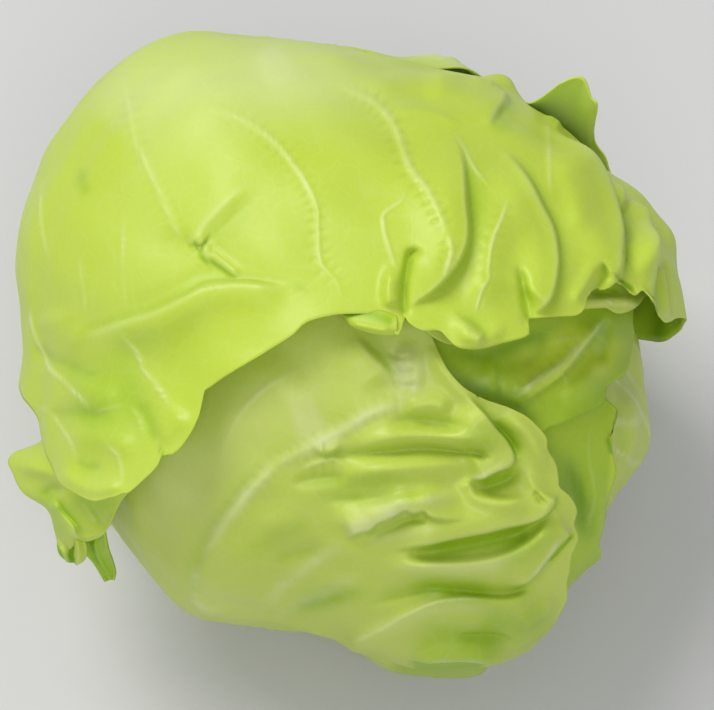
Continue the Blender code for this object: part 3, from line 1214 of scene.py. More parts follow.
def flap_curl() -> Scrap:
    """The crumpled curl at the flap's lowest tip."""
    return Scrap(
        ((57, 538, 23), (57, 548, 21), (60, 556, 19), (66, 561, 17), (74, 564, 17)),
        ((82, 536, 30), (86, 544, 29), (87, 552, 26), (85, 560, 22), (78, 565, 18)),
        cup=1.5, cells=(40, 44),
        folds=(
            Fold("bright curl", CREST, ((78, 542), (80, 553), (80, 564)), 2.6, 4, 4, (0.05, 0.05)),
            Fold("slot", CREASE, ((72, 546), (71, 555), (73, 563)), 3, 2.2, 2.2, (0.05, 0.05)),
            Fold("left curl", CREST, ((62, 550), (66, 556), (69, 563)), 1.6, 2.5, 2.5, (0.1, 0.1)),
            Fold("left slot", CREASE, ((59, 549), (62, 556), (65, 561)), 1.6, 1.6, 1.6),
        ),
        tints=(
            # Painted shade down in the curl's slots.
            Tint("dark slot", ((71, 546), (71, 555), (72, 563)), 4, deep=1, ends=(0.02, 0.02)),
            Tint("dark left slot", ((58, 548), (62, 557), (66, 562)), 2.4, deep=1, ends=(0.02, 0.02)),
        ),
    )


def flap_spike() -> Scrap:
    """The narrow curl that hangs from the flap's lowest edge."""
    return Scrap(
        ((82, 536, 26), (84, 552, 22), (93, 563, 18), (103, 576, 15), (107, 581, 14)),
        ((103, 528, 34), (107, 548, 27), (111, 560, 21), (114, 572, 16), (112, 580, 14)),
        cup=-1.5, cells=(44, 20),
        folds=(
            Fold("keel", CREST, ((94, 540), (100, 558), (110, 576)), 1.8, 3, 3, (0.1, 0.1)),
            Fold("upper crease", CREASE, ((88, 542), (92, 554), (98, 564)), 1.2, 2, 2),
        ),
        # Painted shade over the hanging curl.
        tints=(Tint("dark curl", ((92, 536), (98, 554), (108, 576)), 16, deep=0.9, ends=(0.01, 0.01)),),
    )


def curled_lip() -> Scrap:
    """The short stretch of margin that curls under, below the middle of the front."""
    return Scrap(
        ((343, 312, 88), (360, 310, 90), (380, 310, 91), (397, 316, 91)),
        ((344, 319, 89), (354, 328, 90.5), (378, 335, 91.5), (397, 335, 91.5)),
        cup=1.6, cells=(60, 30),
        folds=(Fold("roll", CREST, ((350, 324), (370, 328), (392, 332)), 1.2, 4, 4, (0.2, 0.2)),),
        tints=(
            # Painted shadow of the margin above, along the roll.
            Tint("deep above the roll", ((344, 314), (370, 315), (394, 322)), 5, deep=0.9, ends=(0.05, 0.1)),
        ),
    )


def rolled_rib() -> Scrap:
    """The thick rolled rib that shows below the fourth pleat."""
    return Scrap(
        ((616, 276, 50), (624, 286, 46), (632, 294, 40), (638, 298, 36)),
        ((620, 272, 47), (629, 281, 44), (636, 288, 39), (640, 291, 34)),
        cup=1.6, cells=(32, 16),
        # Paler along the rib's edge.
        tints=(Tint("pale rib edge", ((618, 279), (628, 288), (637, 297)), 2.5, pale=0.9, ends=(0.1, 0.1)),),
    )


# Creases and laps here also paint shade into their hollows and below their drops, and a highlight on each
# lap's brow.
TOP_LEAF_FOLDS: tuple[Fold, ...] = (
    Fold("hem", LAP, ((290, 283), (275, 285), (239, 282), (207, 285), (184, 296), (156, 310), (129, 319),
        (110, 326), (69, 340)), 2.6, 20, 3.4, (0.15, 0.25), 1.2, 0.6),
    Fold("trough above the hem", CREASE, ((100, 318), (129, 307), (156, 296), (186, 281), (210, 272),
        (240, 270)), 0.6, 12, 9, shade=0.3),
    Fold("step on the left", LAP, ((198, 246), (214, 226), (236, 204), (262, 184)), 1.5, 34, 9, (0.1, 0.5),
        shade=0.5),
    Fold("first pleat's crease", CREASE, ((424, 251), (412, 253), (409, 259), (406, 274), (404, 290),
        (404, 309)), 3.6, 4.5, 4.5, (0.2, 0.02)),
    Fold("first pleat", LAP, ((400, 312), (422, 300), (439, 288), (457, 268), (467, 248), (470, 229),
        (468, 206), (464, 161), (452, 124)), 5.6, 36, 3.4, (0.28, 0.35), 0.3),
    Fold("left of the first crease", CREST, ((393, 262), (391, 276), (389, 292), (391, 308)), 2.8, 13, 7,
        (0.4, 0.15)),
    Fold("first pleat's foot", LAP, ((486, 338), (472, 326), (460, 317), (450, 308)), 3.2, 12, 3,
        (0.1, 0.6)),
    Fold("second pleat's lip", CREST, ((450, 334), (478, 338), (510, 328)), 1.8, 8, 8),
    Fold("second and third pleats' crease", CREASE, ((517, 262), (521, 276), (526, 297), (529, 318)), 3.4,
        4.5, 5, (0.4, 0.02)),
    Fold("second pleat", CREST, ((474, 316), (482, 290), (490, 260), (496, 228), (502, 196)), 3.4, 16, 22),
    Fold("third pleat", LAP, ((531, 316), (544, 307), (553, 291), (557, 268), (557, 252), (553, 229),
        (542, 206), (528, 179), (514, 160), (500, 146)), 5, 30, 3.2, (0.14, 0.3), 3),
    Fold("fourth pleat", LAP, ((606, 290), (618, 280), (622, 262), (622, 246), (619, 229), (610, 206),
        (597, 179), (583, 160), (560, 135), (548, 122)), 4.6, 30, 3.2, (0.16, 0.3), 3),
    Fold("fourth pleat's curl", CREASE, ((603, 262), (604, 276), (596, 291)), 3, 3.5, 3.5, (0.2, 0.1)),
    Fold("fourth pleat's foot", CREST, ((572, 306), (580, 292), (590, 276), (598, 260)), 2.4, 9, 6),
    Fold("small curl on top", CREST, ((546, 116), (554, 121), (558, 130)), 1.2, 5, 4),
    Fold("fifth pleat", CREST, ((638, 288), (641, 262), (640, 232), (636, 206), (628, 184)), 3.6, 9, 8),
    Fold("edge by the tongue", LAP, ((655, 312), (652, 296), (651, 278), (648, 258), (642, 238), (636, 220)),
        3.6, 10, 2.4, (0.05, 0.3), 1),
    Fold("tongue's crease", CREASE, ((664, 256), (668, 280), (671, 312)), 2.4, 2.8, 2.8, (0.2, 0.1)),
    Fold("tongue's ridge", CREST, ((656, 262), (661, 288), (665, 316)), 1.8, 4, 4, (0.2, 0.1)),
    Fold("fifth pleat's edge", CREST, ((608, 178), (616, 184), (619, 200), (621, 214)), 1.8, 4, 3),
    Fold("fifth pleat's crease", CREASE, ((621, 200), (626, 222), (627, 244)), 2.8, 4, 4),
    Fold("knob", LAP, ((488, 134), (498, 120), (505, 104), (509, 88)), 2.2, 22, 6, (0.4, 0.3)),
    Fold("knob's round end", CREST, ((482, 84), (494, 82), (502, 88)), 2, 9, 9),
    Fold("nick under the knob", CREASE, ((504, 106), (499, 116), (490, 128)), 2, 5, 5, (0.3, 0.5),
        shade=0.7),
    Fold("gap under the fourth pleat", CREASE, ((617, 279), (625, 284), (634, 291)), 3, 2.6, 2.6, (0.3, 0.2),
        shade=3),
    Fold("swell from the knob", CREST, ((496, 88), (470, 88), (446, 90), (420, 98)), 2, 12, 18),
    Fold("ridge along the top", CREST, ((360, 84), (395, 80), (430, 84), (470, 82)), 1.2, 7, 9),
    Fold("fine ridge", CREST, ((384, 112), (412, 109), (440, 114), (462, 128)), 0.8, 4, 5),
    Fold("fourth pleat's shoulder", CREST, ((576, 240), (580, 210), (570, 176), (552, 142)), 1.8, 12, 14),
    Fold("tear", LAP, ((188, 240), (199, 246), (205, 256), (216, 263), (226, 270), (238, 280)), 1.6, 6, 1.5,
        (0.1, 0.15), shade=2),
    Fold("nick by the tear", CREASE, ((200, 248), (206, 242), (210, 234)), 1.2, 2, 2, (0.1, 0.5), shade=2),
    Fold("flap's upper bulge", CREST, ((52, 306), (60, 330), (84, 350)), 1.8, 24, 18),
    Fold("flap's middle bulge", CREST, ((66, 384), (92, 396), (124, 402)), 2.2, 14, 14),
    Fold("flap's dip", CREASE, ((30, 345), (56, 362), (92, 374)), 1.6, 8, 8),
    Fold("flap's lower bulge", CREST, ((62, 444), (92, 438), (140, 450)), 2.4, 14, 14),
    Fold("flap's lower dip", CREASE, ((40, 415), (74, 414), (112, 418)), 1.5, 8, 8),
    Fold("lip", CREST, ((58, 470), (78, 484), (98, 489), (124, 483)), 2, 7, 7, (0.2, 0.2)),
    Fold("dent above the lip", CREASE, ((74, 462), (88, 468), (104, 466)), 1.8, 6, 6),
    Fold("flap's corner", CREST, ((152, 440), (172, 424), (186, 408)), 2, 15, 13),
    Fold("dip by the corner", CREASE, ((136, 400), (150, 424), (156, 446)), 1.2, 7, 7),
)

TOP_LEAF_VEINS: tuple[Vein, ...] = (
    Vein("midrib", ((449, 236), (439, 213), (426, 188), (410, 167), (397, 131), (387, 115), (372, 100),
        (349, 89), (322, 70)), 3.8, 0.45, 0.45, (0.1, 0.4), 0.4),
    Vein("midrib's foot", ((441, 280), (446, 271), (452, 251), (449, 236)), 2.4, 0.4, 0.5, (0.3, 0.1), 0.2),
    Vein("branch into the crease", ((410, 184), (401, 200), (385, 213), (384, 226), (389, 247), (399, 276)),
        2),
    Vein("long vein", ((190, 110), (218, 110), (252, 125), (275, 142), (289, 158), (305, 181), (317, 207),
        (318, 230), (321, 262), (337, 282), (345, 305)), 2, 0.35, 0.6, (0.3, 0.2), 0.15),
    Vein("left vein", ((119, 71), (129, 103), (135, 138), (147, 165), (161, 197), (174, 225), (184, 243)), 2,
        0.3, 0.5, (0.25, 0.1), 0.12),
    Vein("pleat vein", ((454, 131), (464, 148), (475, 169), (493, 190)), 1.8, 0.3),
    Vein("second pleat's vein", ((509, 196), (502, 217), (493, 240), (489, 267), (488, 280), (472, 299)),
        1.9, 0.35, 0.65, (0.2, 0.3), 0.15),
    Vein("vein by the lip", ((488, 280), (480, 296), (476, 312)), 1.6, 0.25),
    Vein("third pleat's vein", ((547, 115), (548, 146), (550, 184), (552, 198)), 1.8, 0.3),
    Vein("fifth pleat's vein", ((617, 182), (621, 203)), 1.6, 0.25),
    Vein("far left vein", ((41, 177), (41, 218), (46, 248), (54, 267)), 1.7, 0.25, 0.4),
    Vein("upright vein", ((124, 200), (123, 266), (127, 318)), 1.6, 0.2, 0.3, (0.4, 0.3)),
    Vein("vein above the flap", ((78, 252), (87, 321)), 1.6, 0.2, 0.3, (0.3, 0.3)),
    Vein("flap's left vein", ((30, 308), (34, 329), (44, 358), (50, 369), (63, 381), (80, 398), (96, 416)),
        1.8, 0.4, 0.8, (0.1, 0.2)),
    Vein("flap's right vein", ((118, 331), (137, 354), (145, 371), (160, 390), (173, 410)), 1.9, 0.4, 0.75,
        (0.3, 0.2)),
    Vein("lower flap vein", ((32, 402), (50, 414), (62, 428), (72, 446), (77, 462)), 1.7),
    Vein("flap's forked vein", ((105, 445), (116, 453), (121, 468), (122, 489)), 1.8),
    Vein("flap's short vein", ((128, 405), (139, 419), (145, 438)), 1.5, 0.25, 0.4),
    Vein("flap's cross vein", ((93, 412), (110, 408), (128, 405)), 1.4, 0.2, 0.4),
)

TOP_LEAF_TINTS: tuple[Tint, ...] = (
    Tint("yellow spot", ((84, 168), (82, 180), (88, 196)), 6, deep=0.5, ends=(0.2, 0.2)),
    Tint("scar", ((292, 285), (300, 288), (310, 294)), 4, deep=0.35),
    Tint("spot on the flap", ((84, 372), (90, 373), (96, 372)), 3, deep=0.4),
    Tint("dark nick on the flap", ((160, 450), (162, 454), (163, 458)), 2, deep=0.9),
    Tint("pale band", ((264, 41), (274, 62), (285, 85)), 12, pale=0.5),
    # Painted light: the shoulder is paler where it faces the light.
    Tint("bright shoulder", ((90, 136), (140, 100), (200, 84), (300, 78), (440, 96)), 46, pale=0.75,
        ends=(0.15, 0.4)),
    Tint("flap in fuller green", ((60, 410), (110, 400), (160, 380)), 46, deep=0.5),
    Tint("hem in fuller green", ((100, 350), (160, 345), (220, 320)), 22, deep=0.22),
    # Painted shade down in the second pleat.
    Tint("deep in the second pleat", ((470, 150), (478, 200), (484, 250)), 9, deep=0.3),
)


def top_leaf() -> Leaf:
    """The outermost leaf: over the top and the left side, with a flap and pleats in front."""
    left_flap = Seen(((18, 390, 3.5), (29, 407, 2.5), (40, 421, 2), (43, 438, 3), (50, 458, 5), (58, 476, 8),
        (72, 489, 10), (95, 497, 11), (118, 493, 10)))
    front = Seen(tuple((x, y, 9.0 - 0.07 * (x - 128) if x < 200 else 4.0) for x, y in TOP_FRONT_MARGIN))
    tongue = Seen(((647, 289, 3.5), (650, 296, 3), (653, 306, 2.5), (657, 315, 2), (664, 322, 1.5),
        (671, 321, 1), (677, 318, 0.5)))
    return Leaf(
        name="top_leaf", slot="outer_leaf", middle=(98, 56), depth=0,
        margin=(petiole(100, -74), Hidden(((146, -50, 0), (158, -42, 0), (168, -34, 0), (174, -24, 0),
            (178, -12, 0))), left_flap, front, tongue, Hidden(((4, -2, 0.5), (6, -8, 0.5), (10, -14, 0.5),
            (15, -20, 0), (22, -27, 0), (34, -38, 0), (54, -50, 0)))),
        fan=RibFan(((100, -72), (99, -20), (98, 34), (80, 66), (350, 72)), pairs=6),
        cells=(320, 216), focus=(-0.3, 0.5), pull=(0.7, 2.2), lift_starts=0.78, deepest=3,
        joined=(flap_underfold(), flap_curl(), flap_spike(), curled_lip(), rolled_rib()),
        folds=TOP_LEAF_FOLDS, veins=TOP_LEAF_VEINS,
        bulges=(
            Bulge("upper left shoulder", (124, 25), 14, -2.6),
            Bulge("left side", (164, 7), 13, -3),
            Bulge("side of the flap", (182, -2), 9, -5.4),
            Bulge("fifth pleat's shoulder", (24, 13), 6, 5),
            Bulge("knob's nose", (54.8, 25.8), 3.7, 5),
            Bulge("knob at the right", (16, 10), 4, 3.6),
            Bulge("fold behind the knob", (23, 5), 5, 3),
            Bulge("foot of that fold", (30, -2), 6, 2),
            # Painted shade inside the side lobe.
            Bulge("inside of the side lobe", (9, -6), 9, 0, deep=0.8),
        ),
        tints=TOP_LEAF_TINTS,
    )


def inner_top_leaf() -> Leaf:
    """The leaf under the pleats, whose rolled margin shows between them."""
    return Leaf(
        name="inner_top_leaf", slot="pale_leaf", middle=(48, 44), depth=4.3,
        margin=(
            petiole(62, -73),
            Hidden(((98, -44, 0), (112, -10, 0), (120, 18, 0), (136, 46, 0), (205, 68, 0))),
            Seen(((380, 296, 0), (440, 341, 0.5), (474, 336, 1), (530, 314, 1), (560, 312, 1), (582, 309, 2),
                (604, 308, 2.5), (636, 307, 2.5))),
            Hidden(((13, 4, 0), (16, -20, 0), (26, -48, 0))),
        ),
        fan=RibFan(((62, -72), (56, -20), (48, 44), (20, 66)), pairs=6),
        cells=(150, 150), focus=(-0.3, 0.6), pull=(0.5, 1.5),
        folds=(
            Fold("rolled margin", CREST, ((582, 303), (600, 301), (618, 300), (638, 303)), 2.2, 5, 5,
                (0.2, 0.1)),
            Fold("hollow behind the roll", CREASE, ((590, 293), (606, 292), (624, 292)), 1.8, 5, 5),
        ),
        veins=(Vein("rib at the roll", ((600, 303), (616, 303), (634, 305)), 1.6, 0.3),),
        # Painted shade under the pleats.
        tints=(Tint("deep under the pleats", ((586, 294), (604, 291), (626, 292)), 6, deep=0.9),),
        ruffle=0.6,
    )


def bottom_lobe() -> Scrap:
    """The shaded lobe at the front leaf's lowest edge."""
    return Scrap(
        ((346, 640, 12), (380, 650, 18), (412, 656, 22), (440, 655, 24), (470, 654, 24), (500, 652, 20)),
        ((350, 651, 3), (364, 656, 0), (385, 669, 0), (402, 674, 0), (442, 678, 0), (472, 677, 0),
            (484, 672, 0), (491, 663, 2), (500, 655, 4)),
        cup=4, cells=(80, 30),
        folds=(Fold("crease", CREASE, ((420, 668), (446, 662), (480, 664)), 1.6, 4, 4),),
        tints=(Tint("in shade", ((384, 664), (440, 668), (490, 664)), 14, deep=0.8, ends=(0.2, 0.05)),),
    )


# Creases and laps here also paint shade into their hollows and below their drops, and a highlight on each
# lap's brow.
FRONT_LEAF_FOLDS: tuple[Fold, ...] = (
    Fold("first lobe's edge", LAP, ((466, 481), (480, 478), (494, 471), (508, 465), (512, 457), (506, 443),
        (494, 429), (481, 412), (466, 392)), 5.6, 30, 3, (0.15, 0.25), 3.5),
    Fold("second lobe's edge", LAP, ((388, 551), (405, 548), (430, 543), (457, 537), (488, 531), (509, 526),
        (528, 522), (542, 516), (551, 506), (557, 494)), 5.4, 24, 3, (0.25, 0.05), 3),
    Fold("third lobe's edge", LAP, ((500, 590), (520, 584), (532, 576), (545, 560), (558, 545), (571, 532)),
        4.2, 18, 3, (0.3, 0.05), 2.5),
    Fold("recess under the first lobe", CREASE, ((474, 488), (490, 486), (506, 480), (522, 468)), 3, 8, 7),
    Fold("ridge in the recess", CREST, ((464, 478), (470, 488), (478, 497), (504, 502), (534, 500)), 2.6, 5,
        10, (0.1, 0.3)),
    Fold("dimple", CREASE, ((534, 490), (540, 499), (544, 504)), 1.8, 4, 4),
    Fold("second lobe's swell", CREST, ((500, 414), (524, 430), (538, 452), (544, 476)), 2.4, 8, 10),
    Fold("behind the first lobe", CREASE, ((492, 420), (510, 440), (520, 458)), 2, 6, 6),
    Fold("first crease", CREASE, ((318, 453), (339, 455), (386, 452), (425, 449), (467, 452), (494, 459)),
        3.2, 6, 5, (0.25, 0.1)),
    Fold("above the first crease", CREST, ((350, 446), (400, 436), (450, 438), (496, 448)), 2.6, 9, 9),
    Fold("furrow under the crumple", CREASE, ((384, 424), (412, 421), (446, 424), (474, 428)), 1.8, 8, 7),
    Fold("swell under the crumple", CREST, ((400, 410), (430, 404), (456, 410)), 2.4, 12, 10),
    Fold("below the first crease", CREST, ((330, 478), (380, 470), (430, 466), (480, 466)), 2.8, 9, 13),
    Fold("faint furrow", CREASE, ((320, 500), (360, 500), (404, 494), (440, 486)), 1.4, 8, 8),
    Fold("swell above the tear", CREST, ((372, 508), (408, 498), (440, 496), (470, 502)), 2, 8, 10),
    Fold("torn edge", LAP, ((346, 539), (354, 534), (362, 531), (370, 529), (377, 523), (391, 517),
        (398, 513), (405, 510), (414, 512), (423, 511), (431, 516), (445, 519), (472, 521)), 4, 18, 2,
        (0.08, 0.4), 1.6),
    Fold("furrow left of the tear", CREASE, ((268, 562), (300, 552), (330, 546)), 0.9, 9, 8, shade=0.8),
    Fold("furrow by the main rib", CREASE, ((288, 484), (320, 478), (352, 476)), 1.2, 8, 8, shade=0.8),
    Fold("side of the main rib", LAP, ((300, 448), (262, 474), (234, 504), (212, 536), (196, 566),
        (193, 596)), 1, 14, 4, (0.3, 0.2), shade=0.6),
    Fold("floor under the tear", CREASE, ((362, 540), (390, 528), (412, 520), (432, 524)), 2.2, 6, 6),
    Fold("dark crevice", CREASE, ((404, 556), (430, 551), (460, 546), (490, 540), (516, 533), (536, 524)),
        3.4, 6, 9, (0.2, 0.2)),
    Fold("third lobe", CREST, ((378, 562), (412, 566), (446, 566), (480, 564), (510, 556), (538, 538),
        (558, 512)), 4.2, 8, 17, (0.25, 0.15)),
    Fold("third crease", CREASE, ((360, 606), (399, 595), (431, 588), (462, 590), (504, 594), (532, 586)),
        3.4, 10, 5, (0.25, 0.1)),
    Fold("fourth lobe", CREST, ((330, 643), (378, 630), (404, 618), (431, 606), (457, 601), (509, 600),
        (544, 590)), 3, 6, 16, (0.15, 0.15)),
    Fold("slit at the side", CREASE, ((548, 562), (560, 548), (572, 534)), 2.4, 3, 3, (0.2, 0.1)),
    Fold("fifth lobe", CREST, ((510, 622), (536, 612), (556, 592)), 2, 10, 10),
    Fold("low furrow", CREASE, ((450, 637), (468, 636), (494, 637), (518, 643)), 2, 4, 5),
    Fold("lowest ridge", CREST, ((404, 652), (436, 648), (467, 646), (505, 650)), 2.2, 10, 6),
    Fold("edge over the bottom", LAP, ((402, 662), (412, 658), (436, 654), (467, 653), (496, 655),
        (515, 652)), 2.6, 8, 2.6, (0.2, 0.2), 1),
    Fold("smooth shoulder", CREST, ((204, 470), (236, 430), (276, 396), (318, 376)), 2, 40, 34),
    Fold("fold by the crumple", LAP, ((396, 392), (393, 378), (384, 364), (370, 350), (352, 330)), 1.8, 26,
        5, (0.4, 0.35)),
    Fold("crumple", CREST, ((394, 348), (408, 360), (412, 376), (406, 394)), 1.8, 10, 12),
    Fold("crumple's upper wrinkle", CREASE, ((388, 352), (400, 358), (412, 356)), 0.6, 3, 3, shade=0.4),
    Fold("crumple's wrinkle", CREASE, ((392, 366), (403, 371), (418, 368)), 0.7, 3, 3, shade=0.4),
    Fold("crumple's lower wrinkle", CREASE, ((390, 380), (402, 385), (420, 384)), 0.7, 3, 3, shade=0.4),
    Fold("margin's swell", CREST, ((428, 340), (438, 362), (456, 386), (482, 414)), 2, 14, 8),
    Fold("left fold at the foot", CREASE, ((196, 606), (194, 587), (200, 564), (212, 542)), 1, 5, 5),
    Fold("swell at the foot", CREST, ((236, 610), (250, 570), (276, 530), (306, 500)), 1.6, 22, 22),
    Fold("furrow at the foot", CREASE, ((284, 618), (320, 600), (356, 590)), 2.2, 12, 10),
    Fold("notch", LAP, ((316, 450), (326, 454), (342, 448)), 1.4, 6, 2.2, (0.2, 0.2)),
)

FRONT_LEAF_VEINS: tuple[Vein, ...] = (
    Vein("main rib", ((200, 562), (210, 543), (226, 520), (242, 500), (261, 479), (273, 465), (300, 454),
        (321, 442), (342, 431), (368, 415), (391, 405), (402, 399)), 6.5, 0.5, 0.5, (0.3, 0.05), 0.1),
    Vein("main rib's foot", ((226, 612), (208, 610), (197, 600), (194, 583), (200, 562)), 4.4, 0.5, 0.4,
        (0.2, 0.3)),
    Vein("second rib", ((256, 612), (276, 594), (304, 570), (332, 552), (352, 540)), 7, 0.4, 0.3,
        (0.3, 0.3)),
    Vein("third rib", ((268, 618), (300, 604), (340, 584), (372, 574)), 7, 0.4, 0.22, (0.3, 0.4)),
    Vein("rib on the shoulder", ((216, 470), (236, 420), (268, 386), (308, 366)), 3, 0.2, 0.2, (0.4, 0.4)),
    Vein("crumpled rib", ((398, 399), (402, 384), (400, 366), (394, 350)), 8, 0.2, 0.55, (0.1, 0.3)),
    Vein("crumple's right rib", ((404, 398), (416, 384), (420, 364), (414, 346)), 5, 0.3, 0.4, (0.1, 0.3)),
    Vein("torn edge's rib", ((342, 536), (354, 528), (377, 517), (398, 507), (414, 505), (440, 498),
        (464, 484)), 7, 0.2, 0.42, (0.15, 0.4)),
    Vein("first lobe's rib", ((468, 478), (480, 474), (494, 467), (506, 461)), 2.4, 0.2, 0.6, (0.2, 0.2)),
    Vein("fourth lobe's rib", ((332, 640), (378, 629), (404, 616), (431, 604), (457, 599), (502, 597)), 2,
        0.25, 0.36, (0.3, 0.3)),
    Vein("side rib", ((557, 540), (546, 556), (530, 577)), 2.2, 0.4, 0.7, (0.2, 0.2)),
    Vein("bottom rib", ((414, 656), (436, 652), (467, 651), (492, 652)), 1.8, 0.2, 0.5, (0.2, 0.2)),
    Vein("rib to the notch", ((300, 470), (322, 462), (345, 456)), 2.4, 0.3, 0.25, (0.3, 0.3), 0.3),
)

FRONT_LEAF_TINTS: tuple[Tint, ...] = (
    Tint("pale left side", ((140, 540), (180, 490), (236, 430), (300, 380)), 46, pale=0.55),
    # Painted highlight where the smooth dome faces the light.
    Tint("brightest spot", ((290, 424), (307, 419), (324, 412)), 26, pale=0.8),
    # Painted shadow under the top leaf's margin.
    Tint("under the top leaf", ((210, 400), (250, 374), (300, 340)), 10, deep=0.2),
    Tint("green by the main rib", ((300, 500), (350, 484), (420, 478)), 12, deep=0.45),
    Tint("green below the rib", ((230, 560), (270, 540), (320, 516)), 10, deep=0.3),
    # Painted shade in the furrow at the foot.
    Tint("green furrow at the foot", ((290, 606), (330, 600), (376, 588)), 9, deep=0.5),
    # Painted highlights on the lobes' crests.
    Tint("third lobe's crest", ((384, 566), (440, 568), (500, 562), (540, 540)), 7, pale=0.7),
    Tint("fourth lobe's crest", ((350, 640), (404, 620), (450, 606), (510, 604)), 8, pale=0.5),
    Tint("pale foot", ((180, 590), (220, 600), (280, 612)), 20, pale=0.3),
    Tint("crumple", ((408, 344), (408, 366), (404, 390)), 17, pale=0.9, ends=(0.1, 0.1)),
    Tint("pale above the tear", ((340, 528), (380, 508), (420, 500)), 12, pale=0.6),
    Tint("pale under the tear", ((360, 548), (400, 534), (450, 528)), 7, pale=0.4),
    # Painted shade in the crevice and the third furrow.
    Tint("crevice", ((420, 552), (460, 545), (500, 538), (530, 530)), 8, deep=1, ends=(0.3, 0.1)),
    Tint("third furrow", ((400, 594), (431, 588), (504, 596)), 13, deep=0.7),
    Tint("first lobe's tip", ((460, 430), (490, 444), (504, 454)), 14, deep=0.5),
    # Painted shade behind the first lobe and in the recess.
    Tint("behind the first lobe", ((486, 412), (508, 436), (520, 462)), 7, deep=0.6),
    Tint("recess", ((478, 486), (500, 480), (518, 474)), 7, deep=0.6),
    Tint("third lobe's tip", ((490, 566), (530, 548), (560, 516)), 12, deep=0.5),
    # Painted shade, darker towards the bottom and between the low lobes.
    Tint("bottom", ((410, 668), (450, 670), (486, 668)), 12, deep=0.9, ends=(0.1, 0.1)),
    Tint("low side", ((470, 620), (520, 625), (556, 600)), 24, deep=0.7),
    Tint("whole bottom", ((400, 650), (450, 645), (510, 640)), 26, deep=0.55),
    Tint("between the low lobes", ((420, 634), (470, 632), (510, 640)), 9, deep=0.3),
)


def front_leaf() -> Leaf:
    """The leaf that wraps the front: smooth on its left, folded like a fan on its right."""
    return Leaf(
        name="front_leaf", slot="pale_leaf", middle=(266, 22), depth=7.7,
        margin=(
            petiole(244, -72),
            Hidden(((294, -50, 0), (302, -38, 0))),
            Seen(((536, 645, 0), (548, 632, 0.5), (559, 616, 1), (566, 600, 1), (568, 585, 2), (570, 570, 2),
                (573, 556, 3), (578, 538, 3), (574, 524, 3), (577, 511, 3.5), (571, 498, 3.5),
                (561, 488, 3.5), (559, 477, 3.5), (556, 464, 3.5), (548, 449, 3.5), (545, 436, 3.5),
                (528, 418, 3.5), (509, 408, 3.5), (484, 399, 3), (464, 387, 3), (449, 370, 3),
                (440, 354, 2.5), (432, 336, 2), (426, 322, 1))),
            Hidden(((290, 72, 0), (240, 68, 0), (222, 44, 0), (204, 22, 0), (192, 0, 0), (190, -26, 0),
                (200, -48, 0))),
        ),
        fan=RibFan(((244, -70), (250, -30), (258, 0)), pairs=4, swell=0.6),
        cells=(300, 266), focus=(0.35, 0.1), pull=(0.9, 0.4), deepest=4.5, folds=FRONT_LEAF_FOLDS,
        veins=FRONT_LEAF_VEINS, tints=FRONT_LEAF_TINTS, joined=(bottom_lobe(),),
        bulges=(
            Bulge("low right corner", (315, -23), 8, -6),
            Bulge("over the bottom lobe", (288, -29), 9, -3),
        ),
        covers=(TOP_FRONT_MARGIN,), ruffle=0.8,
    )


def left_leaf() -> Leaf:
    """The leaf under the left flap."""
    return Leaf(
        name="left_leaf", slot="deep_leaf", middle=(166, -4), depth=11.1,
        margin=(
            petiole(168, -71),
            Hidden(((214, -42, 0), (222, -8, 0), (212, 24, 0), (185, 44, 0), (145, 42, 0), (120, 22, 0),
                (110, -10, 0), (120, -44, 0))),
        ),
        fan=RibFan(((168, -70), (167, -30), (166, 40)), pairs=6, shown=True),
        cells=(110, 110), ruffle=0.5,
    )


